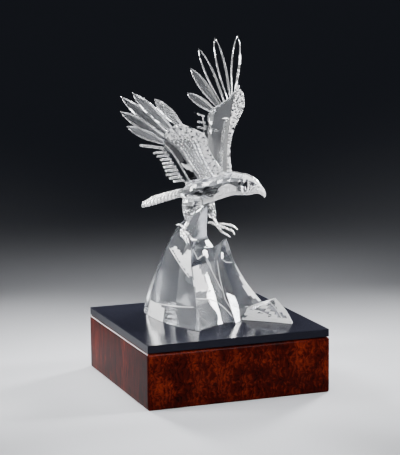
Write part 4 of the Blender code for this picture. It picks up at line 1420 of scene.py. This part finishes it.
def cutRings(sections, carved):
    # rings between the CAD's sections, and where each of their points lies
    right = [(-x, y) for x, y in bird["facets"]]
    corners = np.array(right + [(x, y) for x, y in bird["facets"][::-1]])
    rings, places = [], []
    for first, second in zip(sections, sections[1:]):
        first, second = np.array(first, float), np.array(second, float)
        count = max(2, round(np.linalg.norm((second - first)[:2]) / bird["rowSpacing"]))
        for step in range(count):
            rings.append(first + (second - first) * step / count)
            places.append(step / count)
    rings.append(np.array(sections[-1], float))
    places.append(0.0)
    built, spots = [], []
    for (topAlong, topZ, lowAlong, lowZ, half), share in zip(rings, places):
        middle = np.array((topAlong + lowAlong, topZ + lowZ)) / 2
        lift = np.array((topAlong - lowAlong, topZ - lowZ)) / 2
        ring, spot = [], []
        for k, corner in enumerate(corners):
            side = corners[(k + 1) % len(corners)] - corner
            for step in range(bird["edgeSteps"]):
                x = step / bird["edgeSteps"]
                aside, y = corner + side * x
                hollow = bird["hollow"] * 4 * x * (1 - x) * math.sin(math.pi * share) * half
                hollow /= bird["fullHollow"]
                along, z = middle + lift * y
                if carved and abs(aside) > bird["grooveReach"]:
                    hollow += max(0.0, grooveDepth(along, z)) * min(1, half / bird["fullGroove"])
                aside *= half - hollow
                along, z = middle + lift * y * (1 - hollow / np.linalg.norm(lift))
                ring.append(onBody(along, z, aside))
                spot.append((along, z, k))
        built.append(np.array(ring))
        spots.append(spot)
    return built, spots


def makeBody():
    rings, spots = cutRings(bird["body"], False)

    def zone(i, j):
        along, z, k = spots[i][j]
        if k > 4:
            return 0
        # painted shade on the dark facets; painted light on the lower near facet and the chest
        if any(within(corners, along, z) for corners in bird["bodyShadeFacets"]):
            return 3
        if k == 3 or within(bird["chestHighlight"], along, z):
            return 2
        left, right, low, high = bird["clearPatch"]
        return 0 if left < along < right and low < z < high else 1

    made = loftObject("bodyPiece", rings, zone,
                      [clearCrystal, mistCrystal, paintedLightCrystal, paintedShadeCrystal])
    finishPiece(made, "crystal", "body")


def makeHead():
    rings, spots = cutRings(bird["head"], True)

    def zone(i, j):
        along, z, k = spots[i][j]
        if k > 4 and along < bird["beakStart"]:
            return 0
        # painted shade on the dark facets; the rest of the near side and the beak are painted white as
        # light, the nape left misty
        if any(within(corners, along, z) for corners in bird["headShadeFacets"]):
            return 3
        return 2 if along < bird["nape"][0] and z > bird["nape"][1] else 1

    made = loftObject("headPiece", rings, zone,
                      [clearCrystal, paintedLightCrystal, mistCrystal, paintedShadeCrystal])
    finishPiece(made, "crystal", "head")


thigh = {
    "bands": 5,
    "sides": 10,
    "steps": 4,
    "rowSpacing": 0.55,
    "footGap": 0.5,
    "rippleDepth": 0.16,
    "rippleSpacing": 2.0,
    "shadedLens": (99.4, 103.6, 282, 322),
    "ringThickness": 1.0,
    "ringCentre": (-9.2, 101.4),
    "ringSize": (7.4, 4.6),
    "ringSink": 0.97,
    "ringArc": (-60, 200, 28),
    "rightHip": (-13.6, -12.3, 90.5),
    "leftHip": (6.5, 6.0, 90.5),
    "right": (
        (86, -13.8, -12.6, 2.6, 2.5), (89, -14.1, -12.6, 3.6, 3.5), (94, -13.1, -12.2, 6.3, 5.0),
        (98.5, -11.4, -11.6, 8.3, 6.0), (102.3, -10.4, -11.0, 9.3, 6.4),
        (105.5, -10.5, -10.2, 7.6, 5.4), (108, -10.8, -9.0, 3.4, 3.0),
    ),
    "left": (
        (86, 6.6, 6.2, 3.0, 2.8), (89, 5.6, 6.6, 4.2, 3.9), (93, 3.6, 7.0, 5.8, 5.0),
        (97, 1.6, 7.4, 7.3, 5.6), (101, -0.3, 7.6, 8.4, 6.0), (105, -0.8, 7.2, 6.6, 5.0),
        (108, -1.0, 6.2, 3.0, 2.8),
    ),
}


def makeThigh(side, shank):
    # facets turn by half a side from one band to the next, as on a cut gem
    sections = thigh[side]
    low, high = sections[0][0], sections[-1][0]
    levels = np.linspace(low, high, round((high - low) / thigh["rowSpacing"]))
    count = thigh["sides"] * thigh["steps"]
    wedge = 2 * math.pi / thigh["sides"]
    rings = []
    for z in levels:
        u, v, halfAlong, halfAcross = glide(sections, z)
        band = (z - low) / (high - low) * thigh["bands"]
        ring = []
        for k in range(count):
            angle = 2 * math.pi * k / count
            flats = []
            for turn in (0.5 * (int(band) % 2), 0.5 * ((int(band) + 1) % 2)):
                off = (angle + turn * wedge) % wedge - wedge / 2
                flats.append(math.cos(wedge / 2) / math.cos(off))
            share = flats[0] + (flats[1] - flats[0]) * (band % 1)
            if z < thigh["shadedLens"][0]:
                share -= thigh["rippleDepth"] / halfAlong * (
                    1 + math.sin(2 * math.pi * z / thigh["rippleSpacing"] + 3 * angle))
            offset = ahead * math.cos(angle) * halfAlong + across * math.sin(angle) * halfAcross
            ring.append(np.array((u, v, z)) + offset * share)
        rings.append(np.array(ring))

    def zone(i, j):
        z, degrees = levels[i], 360 * j / count
        if z > thigh["shadedLens"][0]:
            # painted shade: a dark patch in the ground lens of the thigh
            top, start, end = thigh["shadedLens"][1:]
            return 3 if z < top and start < degrees < end else 1
        return (0, 2, 1)[int(z / thigh["rippleSpacing"] + 3 * degrees / 360) % 3]

    made = loftObject(side + "ThighPiece", rings, zone,
                      [clearCrystal, groundCrystal, mistCrystal, paintedShadeCrystal])
    if side == "right":
        path = []
        sink = thigh["ringSink"]
        for angle in np.radians(np.linspace(*thigh["ringArc"])):
            z = thigh["ringCentre"][1] + thigh["ringSize"][1] * math.sin(angle)
            u, v, halfAlong, halfAcross = glide(sections, z)
            aside = max(min(thigh["ringSize"][0] * math.cos(angle) / halfAlong, sink), -sink)
            path.append(np.array((u, v, z)) + ahead * aside * halfAlong * sink
                        - across * halfAcross * sink * math.sqrt(1 - aside * aside))
        width = thigh["ringThickness"] * figure["scale"]
        ring = makeRibs("ring", [path], ringTree, groundCrystal, Width=width, Thickness=width,
                        Rows=60, Sides=10)
        combine(made, "UNION", [ring])
    bore = (feet[side + "Shank"] + thigh["footGap"]) * figure["scale"]
    hole = makeRibs("hole", [shank], shankTree, clearCrystal, Width=bore, Thickness=bore, Rows=20,
                    Sides=14)
    combine(made, "DIFFERENCE", [hole])
    cutBy(made, "body")
    finishPiece(made, "crystal", side + "_thigh")


makeBody()
makeHead()
for side in ("right", "left"):
    makeThigh(side, smoothPath([thigh[side + "Hip"], *feet[side + "ShankPath"][:3]]))
print("body made")

nodes["plinth_box"].data.materials[0] = burlVeneer
nodes["plinth_top"].data.materials[0] = blackGloss
